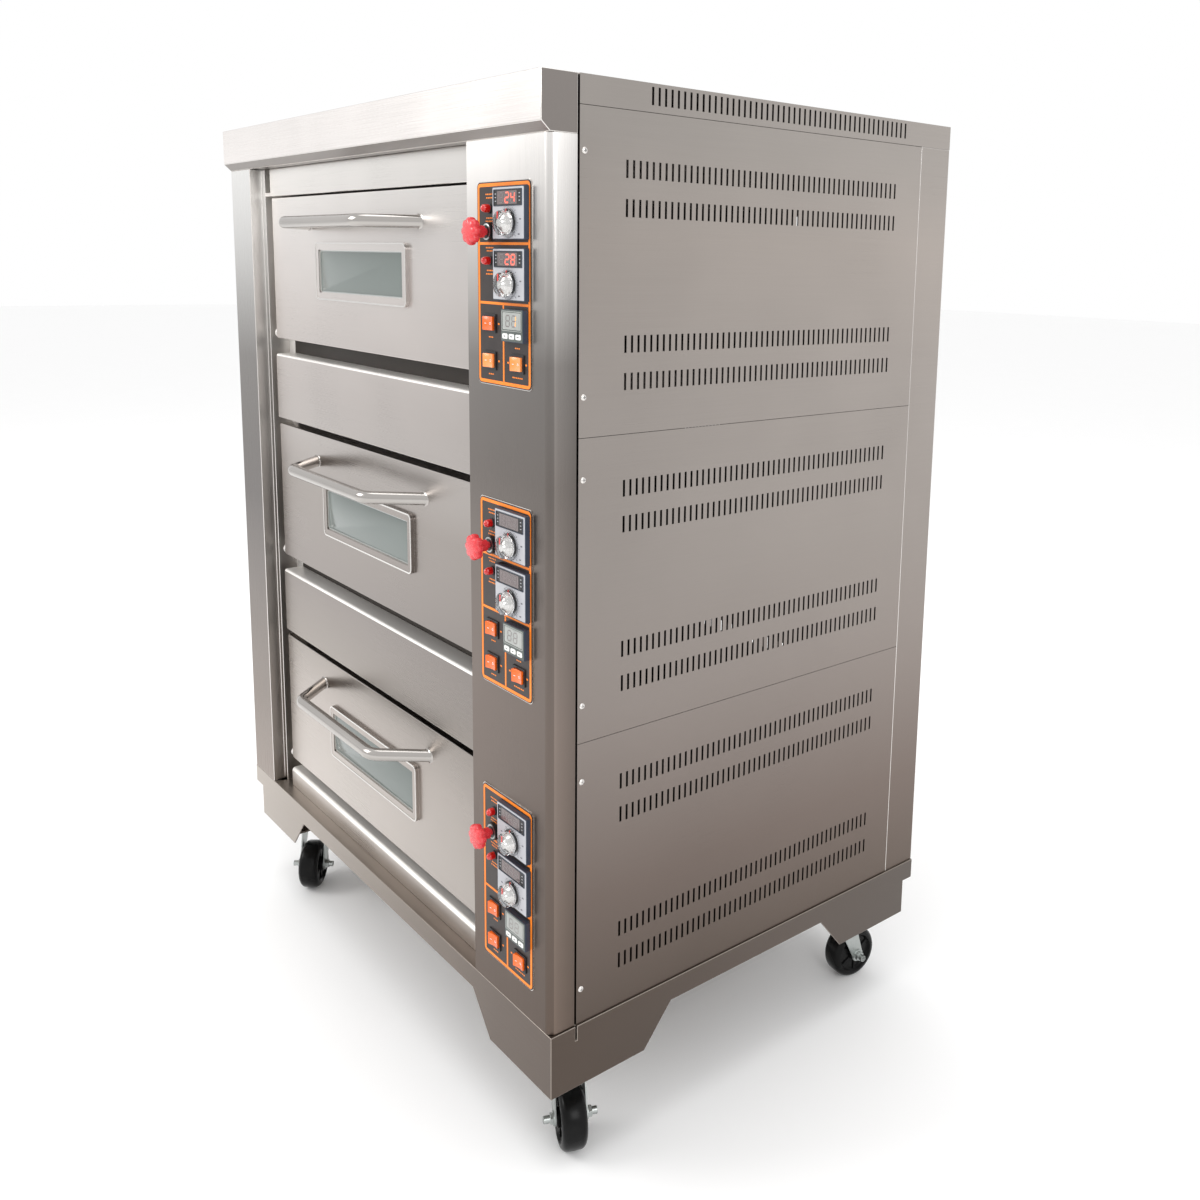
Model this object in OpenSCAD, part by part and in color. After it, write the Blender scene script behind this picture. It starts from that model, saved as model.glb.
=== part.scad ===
// Three-deck electric bakery oven on swivel casters, in millimetres.
// X runs left to right, Y front to back and Z up from the floor.
// Deck 1 is the top deck and deck 3 the bottom one.

/* [Overall size] */
// Width of the steel casing
body_w = 1214; // [1120:1:1500]
// Depth from the front of the control column to the rear face
body_d = 853; // [760:1:1050]
// Vertical distance from one deck to the next
deck_pitch = 462.5; // [380:0.5:560]
// Thickness of the casing sheets
sheet = 2; // [1.5:0.5:3]

/* [Front] */
// Width of the left front post
post_w = 106; // [80:1:130]
// Width of the control column
column_w = 222; // [200:1:270]
// Depth of the sides of the post and the column
column_side = 45; // [38:1:55]
// Radius of the front corner of the column
column_r = 14; // [4:1:18]
// How far the fixed front panels lie behind the column front
panel_recess = 25; // [18:1:30]
// Height of the sill under the lowest door
sill_h = 41; // [30:1:50]
// Height of the frieze above the highest door
frieze_h = 47; // [35:1:70]

/* [Hood and roof] */
// Height of the hood at the top of the front
hood_h = 80; // [65:1:100]
// How far the hood stands in front of the column
hood_out = 14; // [8:1:25]
// Height of the sloping lower edge of the hood
hood_slope = 13; // [8:1:20]
// Height of the roof's side skirts
skirt_h = 40; // [32:1:60]

/* [Doors] */
// Height of a door
door_h = 284; // [240:1:345]
// Thickness of a door
door_t = 36; // [30:1:45]
// How far the door faces lie behind the column front
door_recess = 28; // [24:1:34]
// Gap between the left post and a door
door_gap_left = 43; // [34:1:55]
// Gap between a door and the control column
door_gap_right = 19; // [16:1:30]
// Clear height under a door, above the panel below it
door_gap_below = 22; // [18:1:30]
// Width of the window bezel
window_w = 372; // [300:1:450]
// Height of the window bezel
window_h = 108; // [90:1:130]
// Diameter of the handle tube
handle_d = 22; // [16:1:28]
// Distance between the handle's two feet
handle_span = 449; // [380:1:540]
// Length of the handle's straight grip, corner to corner
handle_grip = 316; // [260:1:360]
// Distance from the door face to the middle of the grip
handle_reach = 77; // [60:1:92]
// Distance from the door's top edge to the handle
handle_drop = 54; // [40:1:60]
// Diameter of the hinge pins
hinge_pin_d = 12; // [8:1:14]

/* [Baking chambers] */
// Depth of a baking chamber
chamber_d = 650; // [560:1:700]
// Overlap of the door on each side of the chamber mouth
mouth_overlap = 8; // [6:1:12]
// Diameter of the heating tubes
element_d = 8; // [6:1:10]
// Heating hairpins in the top, and again under the floor
element_count = 3; // [2:1:4]

/* [Base and casters] */
// How far the base is wider than the casing, on each side
base_out = 3; // [1:1:6]
// Height of the base band
band_h = 38; // [30:1:50]
// Height of the legs below the band
leg_h = 66; // [50:1:90]
// Width of a leg at its lower edge
leg_w = 180; // [160:1:220]
// Extra width of a leg where it meets the band
leg_slant = 55; // [30:1:80]
// Inset of the left legs from the base's left end
leg_inset_left = 36; // [0:1:60]
// Inset of the rear legs from the base's rear edge
leg_inset_rear = 25; // [0:1:50]
// Height of the casters, from the floor to their top plates
caster_h = 150; // [140:1:170]
// Diameter of the caster wheels
wheel_d = 102; // [90:1:110]
// Width of the caster wheels at the tread
wheel_w = 42; // [30:1:48]
// Distance from a caster's swivel axis to its wheel axle
caster_trail = 33; // [25:1:40]

/* [Controls] */
// Width of a control fascia
fascia_w = 144; // [140:1:160]
// Height of a control fascia
fascia_h = 290; // [280:1:320]
// Diameter of the dial knobs' skirts
knob_d = 42; // [34:1:43]
// Diameter of the red push buttons
mushroom_d = 40; // [30:1:42]

/* [Vents and cable entry] */
// Slots in each row of the side panels
slot_count = 50; // [30:1:54]
// Distance from one slot to the next
slot_pitch = 11.8; // [10:0.1:13]
// Height of a slot
slot_h = 25; // [18:1:30]
// Width of a slot
slot_w = 4; // [3:0.5:5]
// Diameter of the supply cable that the gland takes
cable_d = 16; // [12:1:20]

/* [Hidden] */
$fn = 48;
DECKS = [1, 2, 3];
CORNERS = ["fl", "fr", "rl", "rr"];
KNOBS = ["top", "floor"];
ROCKERS = ["power", "heat", "light"];
KEYS = ["a", "b", "c"];

// Clearances
run_gap = 0.06;
slide_gap = 0.3;
seal_gap = 0.6;
seam = 0.8;

// Heights, from the floor up
leg_bottom = caster_h;
band_bottom = leg_bottom + leg_h;
base_top = band_bottom + band_h;
door_z3 = base_top + sill_h + door_gap_below;
bar_h = 8;
bar_gap = 3;
door_top = door_z3 + 2 * deck_pitch + door_h;
hood_bottom = door_top + bar_gap + bar_h + frieze_h;
total_h = hood_bottom + hood_h;
skirt_bottom = total_h - skirt_h;
side_panel_h = (skirt_bottom - base_top) / 3;
function door_z(deck) = door_z3 + (3 - deck) * deck_pitch;
function fascia_top(deck) = door_z(deck) + door_h - 3;

// Depths: y(d) is a distance d behind the column's front face
gland_out = 24;
handle_out = handle_reach + handle_d / 2 - door_recess;
front_y = -(body_d + gland_out - handle_out) / 2;
function y(d) = front_y + d;
door_back = door_recess + door_t;
wall_y = door_back + seal_gap;
wall_t = 3;
panels_y = column_side + 3;
rear_post_w = 78;
rear_post_x = 60;
panel_len = body_d - rear_post_w - panels_y - seam;

// Widths
x_left = -body_w / 2;
x_right = body_w / 2;
column_x = x_right - column_w;
post_x = x_left + post_w;
post_flange = 14;
door_x0 = post_x + door_gap_left;
door_x1 = column_x - door_gap_right;
door_w = door_x1 - door_x0;
door_cx = (door_x0 + door_x1) / 2;
base_x = body_w / 2 + base_out;

// Door hinge and window
door_wall = 2.5;
hinge_in = 10;
hinge_up = 10;
hinge_bore_r = hinge_pin_d / 2 + run_gap;
hinge_y = door_recess + hinge_in;
ear_t = 8;
ear_gap = 1.5;
window_z = door_h / 2;
bezel_w = 14;
bezel_out = 6;
lip_w = 3;
glass_t = 4;
glass_w = window_w - 2 * bezel_w + 2 * lip_w;
glass_h = window_h - 2 * bezel_w + 2 * lip_w;

// Baking chamber, above the bottom edge of its door
mouth_low = 24;
mouth_high = door_h - 20;
mouth_w = door_w - 2 * mouth_overlap;
liner_t = 2.5;
hearth_up = 22;
hearth_t = 4;
rail_w = 12;
rail_t = 4;
hearth_inset = 6;

// Controls, measured from the top left corner of a fascia
fascia_t = 2;
fascia_x = column_x + 34;
module_size = [84, 73, 8];
module_x = 56;
module_z = [8, 93];
module_back = [70, 65, 50];
knob_dx = 2;
knob_dz = 50.5;
knob_h = 18;
timer_size = [58, 46, 9];
timer_pos = [79, 178];
timer_back = [50, 38, 45];
key_size = [14, 8];
key_pitch = 17.5;
key_dz = 38;
key_travel = 0.8;
rocker_pos = [[35, 201], [35, 255], [110, 255]];
rocker_flange = [33, 27];
rocker_body = [28, 22.5];
rocker_mouth = [26, 20.5];
rocker_tilt = 7;
rocker_pivot = 2;
rocker_pin_r = 1.2;
mushroom_pos = [34, 70];
stem_r = 5;
collar_r = 14;
barrel_r = 10.5;
lamp_pos = [[34, 37], [34, 111]];
lamp_r = 6;

// Casters
pad_t = 4;
pad_w = 120;
leg_t = 3;
pad_centre = 88;
plate_t = 4;
plate_size = [95, 84];
race_h = 14;
race_r = 31;
king_r = 8;
crown_t = 4;
crown_z = caster_h - plate_t - race_h - slide_gap;
axle_r = 6;
fork_gap = wheel_w + 6;
fork_t = 3;
axle_half = fork_gap / 2 + fork_t + 17;
corner_left_x = -base_x + leg_inset_left + pad_centre;
corner_right_x = base_x - pad_centre;
corner_rear_d = body_d - leg_inset_rear - pad_centre;
function is_left(c) = c == "fl" || c == "rl";
function is_front(c) = c == "fl" || c == "fr";
function caster_x(c) = is_left(c) ? corner_left_x : corner_right_x;
function caster_y(c) = y(is_front(c) ? pad_centre : corner_rear_d);
function caster_yaw(c) = c == "fr" ? 67 : c == "fl" ? 50 : c == "rr" ? -7 : 20;

// Vents
slot_rows = [0.14, 0.258, 0.678, 0.796];
slot_shift = 7;
skirt_slots = slot_count - 2;
rear_slots = 40;
gland_x = x_right - 150;
gland_z = base_top + 90;

function deck_nodes(name) = [for (k = DECKS) str("door_", k, name)];

// Places its children at a point of a fascia: dx right and dz down from its top left corner
module on_fascia(deck, dx, dz) {
    translate([fascia_x + dx, y(-fascia_t), fascia_top(deck) - dz]) children();
}

// A cylinder along Y from depth y0 to y1, on the Y axis
module rod_y(r, y0, y1) {
    translate([0, y0, 0]) rotate([-90, 0, 0]) cylinder(r = r, h = y1 - y0);
}

// A box centred on X and Z, from y0 to y1
module block_y(w, h, y0, y1) {
    translate([-w / 2, y0, -h / 2]) cube([w, y1 - y0, h]);
}

// A rectangle with round corners
module round_rect(w, h, r) {
    union() {
        translate([r, 0]) square([w - 2 * r, h]);
        translate([0, r]) square([w, h - 2 * r]);
        for (x = [r, w - r], z = [r, h - r]) translate([x, z]) circle(r = r);
    }
}

// A flat sheet with rows of upright slots, width along X and height along Y
module slotted_sheet(w, h, rows, count, shift = 0) {
    x0 = (w - (count - 1) * slot_pitch - slot_w) / 2 + shift;
    difference() {
        cube([w, h, sheet]);
        for (r = rows, i = [0:count - 1]) translate([x0 + i * slot_pitch, r, -1])
            cube([slot_w, slot_h, sheet + 2]);
    }
}

// ---- Base ----

// One leg plate: its outer corner at the origin, running along +X, hanging from z = top
module leg_plate(top) {
    points = [[0, 0], [leg_w, 0], [leg_w + leg_slant, leg_h], [leg_w + leg_slant, top], [0, top]];
    rotate([90, 0, 0]) translate([0, 0, -leg_t]) linear_extrude(leg_t) polygon(points);
}

// A corner leg: two plates and the pad that its caster bolts to
module leg(x, d, flip_x, flip_y) {
    top = leg_h + band_h - leg_t;
    translate([x, y(d), leg_bottom]) mirror([flip_x, 0, 0]) mirror([0, flip_y, 0]) {
        leg_plate(top);
        mirror([1, -1, 0]) leg_plate(top);
        translate([leg_t / 2, leg_t / 2, 0]) cube([pad_centre + pad_w / 2, pad_centre + pad_w / 2, pad_t]);
    }
}

module base_frame() {
    inner_x = base_x - leg_t;
    color("silver") difference() {
        union() {
            difference() {
                translate([-base_x, y(0), band_bottom]) cube([2 * base_x, body_d, band_h]);
                translate([-inner_x, y(leg_t), band_bottom - 1])
                    cube([2 * inner_x, body_d - 2 * leg_t, band_h - leg_t + 1]);
            }
            leg(base_x, 0, 1, 0);
            leg(-base_x + leg_inset_left, 0, 0, 0);
            leg(base_x, body_d - leg_inset_rear, 1, 1);
            leg(-base_x + leg_inset_left, body_d - leg_inset_rear, 0, 1);
        }
        translate([x_right - sheet, y(column_side), base_top - 24]) cube([10, panels_y - column_side, 30]);
    }
}

// ---- Casing ----

module hood() {
    outer = [[-hood_out, hood_slope], [-hood_out, hood_h], [column_side, hood_h], [column_side, 0], [0, 0]];
    t = sheet;
    inner = [[t - hood_out, hood_slope + t / 2], [t - hood_out, hood_h - t], [column_side + t, hood_h - t],
        [column_side + t, t], [t / 2, t]];
    color("gainsboro") translate([x_left, y(0), hood_bottom]) rotate([90, 0, 90]) difference() {
        linear_extrude(body_w) polygon(outer);
        translate([0, 0, t]) linear_extrude(body_w - 2 * t) polygon(inner);
    }
}

module roof_cover() {
    length = body_d - panels_y;
    row = skirt_h - slot_h - 5;
    color("silver") {
        translate([x_left, y(panels_y), total_h - sheet]) cube([body_w, length, sheet]);
        translate([x_left + sheet, y(body_d - sheet), skirt_bottom])
            cube([body_w - 2 * sheet, sheet, skirt_h - sheet]);
        for (side = [0, 1]) translate([side * (body_w - sheet) + x_left, y(panels_y), skirt_bottom])
            rotate([90, 0, 90]) slotted_sheet(length, skirt_h - sheet, [row], skirt_slots);
    }
}

module column_profile() {
    t = sheet;
    difference() {
        union() {
            square([column_w - column_r, wall_y]);
            translate([0, column_r]) square([column_w, column_side - column_r]);
            translate([column_w - column_r, column_r]) circle(r = column_r);
        }
        translate([t, t]) square([column_w - column_r - t, wall_y]);
        translate([t, column_r]) square([column_w - 2 * t, wall_y]);
        translate([column_w - column_r, column_r]) circle(r = column_r - t);
        translate([t, column_side]) square([column_w, wall_y]);
    }
}

module control_column() {
    margin = 9;
    color("darkgray") difference() {
        translate([column_x, y(0), base_top]) linear_extrude(hood_bottom - base_top) column_profile();
        for (k = DECKS) translate([fascia_x + margin, y(-1), fascia_top(k) - fascia_h + margin])
            cube([fascia_w - 2 * margin, sheet + 2, fascia_h - 2 * margin]);
    }
}

module corner_posts() {
    h = hood_bottom - base_top;
    t = sheet;
    color("silver") {
        translate([x_left, y(0), base_top]) linear_extrude(h) difference() {
            union() {
                square([post_w, panel_recess + t]);
                square([t, column_side]);
                translate([post_w - t, panel_recess]) square([post_flange + t, t]);
                translate([post_w + post_flange - t, panel_recess]) square([t, wall_y - panel_recess]);
            }
            translate([t, t]) square([post_w - 2 * t, column_side]);
        }
        for (side = [0, 1]) mirror([side, 0, 0])
            translate([x_right, y(body_d), base_top]) linear_extrude(skirt_bottom - base_top) {
                translate([-t, -rear_post_w]) square([t, rear_post_w]);
                translate([-rear_post_x, -t]) square([rear_post_x, t]);
            }
    }
}

module side_panels() {
    rows = [for (r = slot_rows) r * side_panel_h];
    color("darkgray") for (side = [0, 1], k = [0, 1, 2])
        translate([side * (body_w - sheet) + x_left, y(panels_y), base_top + k * side_panel_h])
            rotate([90, 0, 90]) slotted_sheet(panel_len, side_panel_h - seam, rows, slot_count, slot_shift);
}

module back_panel() {
    w = body_w - 2 * rear_post_x - 2 * seam;
    h = skirt_bottom - base_top;
    rows = [for (k = [0, 1, 2]) (k + 0.7) * side_panel_h];
    color("darkgray") difference() {
        translate([-w / 2, y(body_d), base_top]) rotate([90, 0, 0]) slotted_sheet(w, h, rows, rear_slots);
        translate([gland_x, y(body_d), gland_z]) rod_y(cable_d / 2 + 4 + slide_gap, -10, 10);
    }
}

module cable_gland() {
    thread_r = cable_d / 2 + 4;
    color("dimgray") translate([gland_x, y(body_d), gland_z]) difference() {
        union() {
            rod_y(thread_r, -14, 0);
            translate([0, 6, 0]) rotate([90, 0, 0]) cylinder(r = thread_r + 5, h = 6, $fn = 6);
            rod_y(thread_r + 2, 6, gland_out);
            translate([0, -sheet, 0]) rotate([90, 0, 0]) cylinder(r = thread_r + 5, h = 5, $fn = 6);
        }
        rod_y(cable_d / 2, -15, gland_out + 1);
    }
}

// ---- Fixed fronts ----

// A folded front panel: x0 to x1, z0 to z1, its face at panel_recess, its back open on the oven wall
module front_pan(x0, x1, z0, z1, r) {
    depth = wall_y - panel_recess;
    h = z1 - z0;
    t = sheet;
    translate([x0, y(panel_recess), z0]) rotate([90, 0, 90]) difference() {
        linear_extrude(x1 - x0) union() {
            square([depth, h - r]);
            translate([r, 0]) square([depth - r, h]);
            translate([r, h - r]) circle(r = r);
        }
        translate([0, 0, t]) linear_extrude(x1 - x0 - 2 * t) translate([t, t]) square([depth, h - r - t]);
    }
}

module fixed_fronts() {
    x1 = column_x - slide_gap;
    bar_x = post_x + post_flange;
    color("gainsboro") {
        front_pan(door_x0, x1, base_top, base_top + sill_h, 8);
        for (k = [1, 2])
            front_pan(door_x0, x1, door_z(k + 1) + door_h + 13, door_z(k) - door_gap_below - 10, 6);
        front_pan(door_x0, x1, door_top + bar_gap + bar_h, hood_bottom, 3);
        translate([bar_x, y(panel_recess), door_top + bar_gap])
            cube([x1 - bar_x, wall_y - panel_recess, bar_h]);
    }
}

// ---- Baking chambers ----

// Low and high ends of a deck's front wall
function wall_low(deck) = deck == 3 ? base_top : door_z(deck + 1) + door_h + 6;
function wall_high(deck) = deck == 1 ? total_h - sheet : door_z(deck) + door_h + 6;

module hinge_ear(x, deck) {
    z = door_z(deck) + hinge_up;
    r = hinge_pin_d / 2 + 4;
    difference() {
        union() {
            translate([x, y(hinge_y), z]) rotate([0, 90, 0]) cylinder(r = r, h = ear_t);
            translate([x, y(hinge_y), z - r]) cube([ear_t, wall_y - hinge_y + 1, 2 * r]);
        }
        translate([x - 1, y(hinge_y), z]) rotate([0, 90, 0]) cylinder(r = hinge_bore_r, h = ear_t + 2);
    }
}

module liner(deck) {
    z = door_z(deck);
    h = mouth_high - mouth_low;
    wall_x0 = post_x - 20;
    wall_x1 = column_x + 20;
    difference() {
        union() {
            translate([wall_x0, y(wall_y), wall_low(deck)])
                cube([wall_x1 - wall_x0, wall_t, wall_high(deck) - wall_low(deck)]);
            translate([door_cx - mouth_w / 2 - liner_t, y(wall_y), z + mouth_low - liner_t])
                cube([mouth_w + 2 * liner_t, chamber_d + liner_t, h + 2 * liner_t]);
        }
        translate([door_cx - mouth_w / 2, y(wall_y) - 1, z + mouth_low]) cube([mouth_w, chamber_d + 1, h]);
    }
    for (side = [-1, 1]) translate([door_cx + side * (mouth_w - rail_w) / 2 - rail_w / 2,
        y(wall_y + hearth_inset), z + mouth_low + hearth_up - rail_t - hearth_t])
        cube([rail_w, chamber_d - hearth_inset, rail_t]);
    hinge_ear(door_x0 - ear_gap - ear_t, deck);
    hinge_ear(door_x1 + ear_gap, deck);
}

module hearth(deck) {
    translate([door_cx - mouth_w / 2 + slide_gap, y(wall_y + hearth_inset),
        door_z(deck) + mouth_low + hearth_up - hearth_t + slide_gap])
        cube([mouth_w - 2 * slide_gap, chamber_d - hearth_inset - slide_gap, hearth_t - slide_gap]);
}

module baking_chambers() {
    color("dimgray") for (k = DECKS) {
        liner(k);
        hearth(k);
    }
}

// A hairpin heating tube lying flat, its foot on the plane x = 0 and its bend towards -X
module hairpin(length, spread) {
    r = element_d / 2;
    for (side = [-1, 1]) translate([-length, side * spread / 2, 0]) rotate([0, 90, 0])
        cylinder(r = r, h = length);
    translate([-length, 0, 0]) rotate([0, 0, 90]) rotate_extrude(angle = 180)
        translate([spread / 2, 0]) circle(r = r);
    translate([-3, -spread / 2 - 10, -element_d / 2 - 1]) cube([3, spread + 20, element_d + 2]);
}

module heating_elements() {
    spread = 90;
    reach = mouth_w - 110;
    step = chamber_d / element_count;
    low = mouth_low + element_d / 2 + 3;
    high = mouth_high - element_d / 2 - 3;
    color("saddlebrown") for (k = DECKS, i = [0:element_count - 1], z = [low, high])
        translate([door_cx + mouth_w / 2, y(wall_y) + (i + 0.5) * step, door_z(k) + z])
            hairpin(reach, spread);
}

// ---- Doors ----

module door_panel(deck) {
    w = door_w;
    cham = 14;
    r = 3;
    t = door_wall;
    cx = w / 2;
    face = [[r, 0], [door_t - cham, 0], [door_t, cham], [door_t, door_h], [r, door_h],
        [r * 0.3, door_h - r * 0.3], [0, door_h - r], [0, r], [r * 0.3, r * 0.3]];
    core = [[t, t + 1], [door_t - cham, t + 1], [door_t - t, cham + t], [door_t - t, door_h - t],
        [t, door_h - t]];
    tube_w = glass_w + 2 * t;
    tube_h = glass_h + 2 * t;
    color("gainsboro") translate([door_x0, y(door_recess), door_z(deck)]) {
        difference() {
            union() {
                difference() {
                    rotate([90, 0, 90]) linear_extrude(w) polygon(face);
                    translate([t, 0, 0]) rotate([90, 0, 90]) linear_extrude(w - 2 * t) polygon(core);
                }
                translate([cx, 0, window_z]) block_y(tube_w, tube_h, 1, door_t - 1);
                translate([cx - window_w / 2, 0, window_z - window_h / 2]) rotate([90, 0, 0])
                    linear_extrude(bezel_out) round_rect(window_w, window_h, 12);
                for (x = [t / 2, w - t / 2 - 16]) translate([x, hinge_in, hinge_up]) rotate([0, 90, 0])
                    cylinder(r = hinge_up - 0.5, h = 16);
            }
            translate([cx, 0, window_z])
                block_y(glass_w - 2 * lip_w, glass_h - 2 * lip_w, -bezel_out - 1, 5);
            translate([cx, 0, window_z]) block_y(glass_w, glass_h, 3, door_t + 1);
        }
        for (x = [-ear_gap - ear_t, w - 1]) translate([x, hinge_in, hinge_up]) rotate([0, 90, 0])
            cylinder(r = hinge_pin_d / 2, h = ear_gap + ear_t + 1);
    }
}

module door_glass(deck) {
    g = slide_gap;
    color("cadetblue", 0.6) translate([door_cx, y(door_recess), door_z(deck) + window_z]) {
        block_y(glass_w - 2 * g, glass_h - 2 * g, 3, 3 + glass_t);
        block_y(glass_w - 2 * g, glass_h - 2 * g, door_t - glass_t - 1, door_t - 1);
        difference() {
            block_y(glass_w - 2 * g, glass_h - 2 * g, 3 + glass_t, door_t - glass_t - 1);
            block_y(glass_w - 12, glass_h - 12, 2, door_t);
        }
    }
}

module handle_section(less) {
    difference() {
        circle(r = handle_d / 2 - less);
        circle(r = handle_d / 2 - 2 + less);
    }
}

// The handle's tube in the XY plane: feet on y = 0, grip towards -Y
module door_handle(deck) {
    b = handle_grip / 2;
    bend_r = 38;
    lap = 1;
    less = 0.2;
    run = (handle_span - handle_grip) / 2;
    slope = atan2(handle_reach, run);
    tangent = bend_r * tan(slope / 2);
    leg_l = norm([run, handle_reach]) - tangent + lap + handle_d;
    z = door_z(deck) + door_h - handle_drop;
    color("whitesmoke") translate([door_cx, y(door_recess), z]) difference() {
        union() {
            translate([tangent - b - lap, -handle_reach, 0]) rotate([0, 90, 0])
                linear_extrude(2 * (b - tangent + lap)) handle_section(less);
            for (side = [0, 1]) mirror([side, 0, 0]) {
                translate([b - tangent, bend_r - handle_reach, 0]) rotate([0, 0, -90])
                    rotate_extrude(angle = slope) translate([bend_r, 0]) handle_section(0);
                translate([b, -handle_reach, 0]) rotate([0, 0, slope]) translate([tangent - lap, 0, 0])
                    rotate([0, 90, 0]) linear_extrude(leg_l) handle_section(less);
            }
        }
        translate([-handle_span, 0, -handle_d]) cube([2 * handle_span, 3 * handle_d, 2 * handle_d]);
    }
}

// ---- Controls ----

module fascia_plates() {
    g = slide_gap;
    color("black") for (k = DECKS) difference() {
        translate([fascia_x, y(0), fascia_top(k) - fascia_h]) rotate([90, 0, 0])
            linear_extrude(fascia_t) round_rect(fascia_w, fascia_h, 8);
        for (z = module_z) on_fascia(k, module_x + module_size[0] / 2, z + module_size[1] / 2)
            block_y(module_back[0] + 2 * g, module_back[1] + 2 * g, -1, fascia_t + 1);
        on_fascia(k, timer_pos[0] + timer_size[0] / 2, timer_pos[1] + timer_size[1] / 2)
            block_y(timer_back[0] + 2 * g, timer_back[1] + 2 * g, -1, fascia_t + 1);
        for (p = rocker_pos) on_fascia(k, p[0], p[1])
            block_y(rocker_body[0] + 2 * g, rocker_body[1] + 2 * g, -1, fascia_t + 1);
        on_fascia(k, mushroom_pos[0], mushroom_pos[1]) rod_y(barrel_r + g, -1, fascia_t + 1);
        for (p = lamp_pos) on_fascia(k, p[0], p[1]) rod_y(lamp_r - 1 + g, -1, fascia_t + 1);
    }
}

module thermostat() {
    difference() {
        union() {
            block_y(module_size[0], module_size[1], -module_size[2], 0);
            block_y(module_back[0], module_back[1], -1, module_back[2]);
        }
        translate([knob_dx, 0, module_size[1] / 2 - knob_dz]) rod_y(3 + run_gap, -module_size[2] - 1, -1);
    }
}

module timer_module() {
    g = slide_gap;
    difference() {
        union() {
            block_y(timer_size[0], timer_size[1], -timer_size[2], 0);
            block_y(timer_back[0], timer_back[1], -1, timer_back[2]);
        }
        for (i = [-1, 0, 1]) translate([i * key_pitch, 0, timer_size[1] / 2 - key_dz])
            block_y(key_size[0] + 2 * g, key_size[1] + 2 * g, -timer_size[2] - 1, 3 - timer_size[2]);
    }
}

module instrument_modules() {
    color("lightgray") for (k = DECKS) {
        for (z = module_z) on_fascia(k, module_x + module_size[0] / 2, z + module_size[1] / 2) thermostat();
        on_fascia(k, timer_pos[0] + timer_size[0] / 2, timer_pos[1] + timer_size[1] / 2) timer_module();
    }
}

module rocker_housing() {
    difference() {
        union() {
            block_y(rocker_flange[0], rocker_flange[1], -2, 0);
            block_y(rocker_body[0], rocker_body[1], -1, 20);
        }
        block_y(rocker_mouth[0], rocker_mouth[1], -3, 15);
        translate([0, rocker_pivot, -rocker_body[1]])
            cylinder(r = rocker_pin_r + run_gap, h = 2 * rocker_body[1]);
    }
}

module mushroom_collar() {
    difference() {
        union() {
            rod_y(collar_r, -6, 0);
            rod_y(barrel_r, -1, 28);
        }
        rod_y(stem_r + run_gap, -7, 29);
    }
}

module switch_housings() {
    color("dimgray") for (k = DECKS) {
        for (p = rocker_pos) on_fascia(k, p[0], p[1]) rocker_housing();
        on_fascia(k, mushroom_pos[0], mushroom_pos[1]) mushroom_collar();
    }
}

module indicator_lamps() {
    color("red") for (k = DECKS, p = lamp_pos) on_fascia(k, p[0], p[1]) {
        rod_y(lamp_r - 1, -1, 20);
        rod_y(lamp_r + 1.5, -1.5, 0);
        rod_y(lamp_r, -8, -1);
        translate([0, -8, 0]) rotate([90, 0, 0]) rotate_extrude() intersection() {
            circle(r = lamp_r);
            square(lamp_r);
        }
    }
}

module knob(deck, which) {
    z = module_z[which] + knob_dz;
    face = module_size[2] + slide_gap;
    on_fascia(deck, module_x + module_size[0] / 2 + knob_dx, z) color("lightcyan") {
        rod_y(knob_d / 2, -face - 4, -face);
        rod_y(knob_d / 2 - 4, -face - knob_h, -face - 3);
        rod_y(3, -face - 1, -2.5);
    }
}

module mushroom(deck) {
    on_fascia(deck, mushroom_pos[0], mushroom_pos[1]) color("crimson") {
        translate([0, -24, 0]) rotate([90, 0, 0]) rotate_extrude() {
            square([mushroom_d / 2 - 3, 14]);
            translate([0, 3]) square([mushroom_d / 2, 8]);
            for (z = [3, 11]) translate([mushroom_d / 2 - 3, z]) circle(r = 3);
        }
        rod_y(9, -25, -11);
        rod_y(stem_r, -12, 24);
    }
}

module rocker(deck, which) {
    p = rocker_pos[which];
    top = 8.5;
    half = rocker_mouth[0] / 2 - 1.5;
    lever = [[-half, -top], [0, 1.5 - top], [half, -top], [half, -1], [5, 4], [-5, 4], [-half, -1]];
    h = rocker_mouth[1] - 2 * slide_gap;
    on_fascia(deck, p[0], p[1]) color("orangered") translate([0, rocker_pivot, 0])
        rotate([0, 0, rocker_tilt]) {
        translate([0, 0, -h / 2]) linear_extrude(h) polygon(lever);
        translate([0, 0, -h / 2 - 1]) cylinder(r = rocker_pin_r, h = h + 2);
    }
}

module timer_key(deck, which) {
    on_fascia(deck, timer_pos[0] + timer_size[0] / 2 + (which - 1) * key_pitch, timer_pos[1] + key_dz)
        color("whitesmoke") block_y(key_size[0], key_size[1], -timer_size[2] - 1.4, 2 - timer_size[2]);
}

// ---- Casters ----

module caster_plates() {
    color("silver") for (c = CORNERS) translate([caster_x(c), caster_y(c), 0]) difference() {
        union() {
            translate([-plate_size[0] / 2, -plate_size[1] / 2, caster_h - plate_t])
                cube([plate_size[0], plate_size[1], plate_t]);
            translate([0, 0, caster_h - plate_t - race_h]) cylinder(r = race_r, h = race_h + 1);
        }
        translate([0, 0, caster_h - plate_t - race_h - 1]) cylinder(r = king_r + run_gap, h = 40);
    }
}

// Puts its children at a caster: +X along the wheel axle, +Y towards the trailing side
module at_caster(c) {
    translate([caster_x(c), caster_y(c), 0]) rotate([0, 0, caster_yaw(c)]) children();
}

function trail_side(c) = c == "rr" ? 1 : c == "rl" ? 1 : -1;

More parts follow.
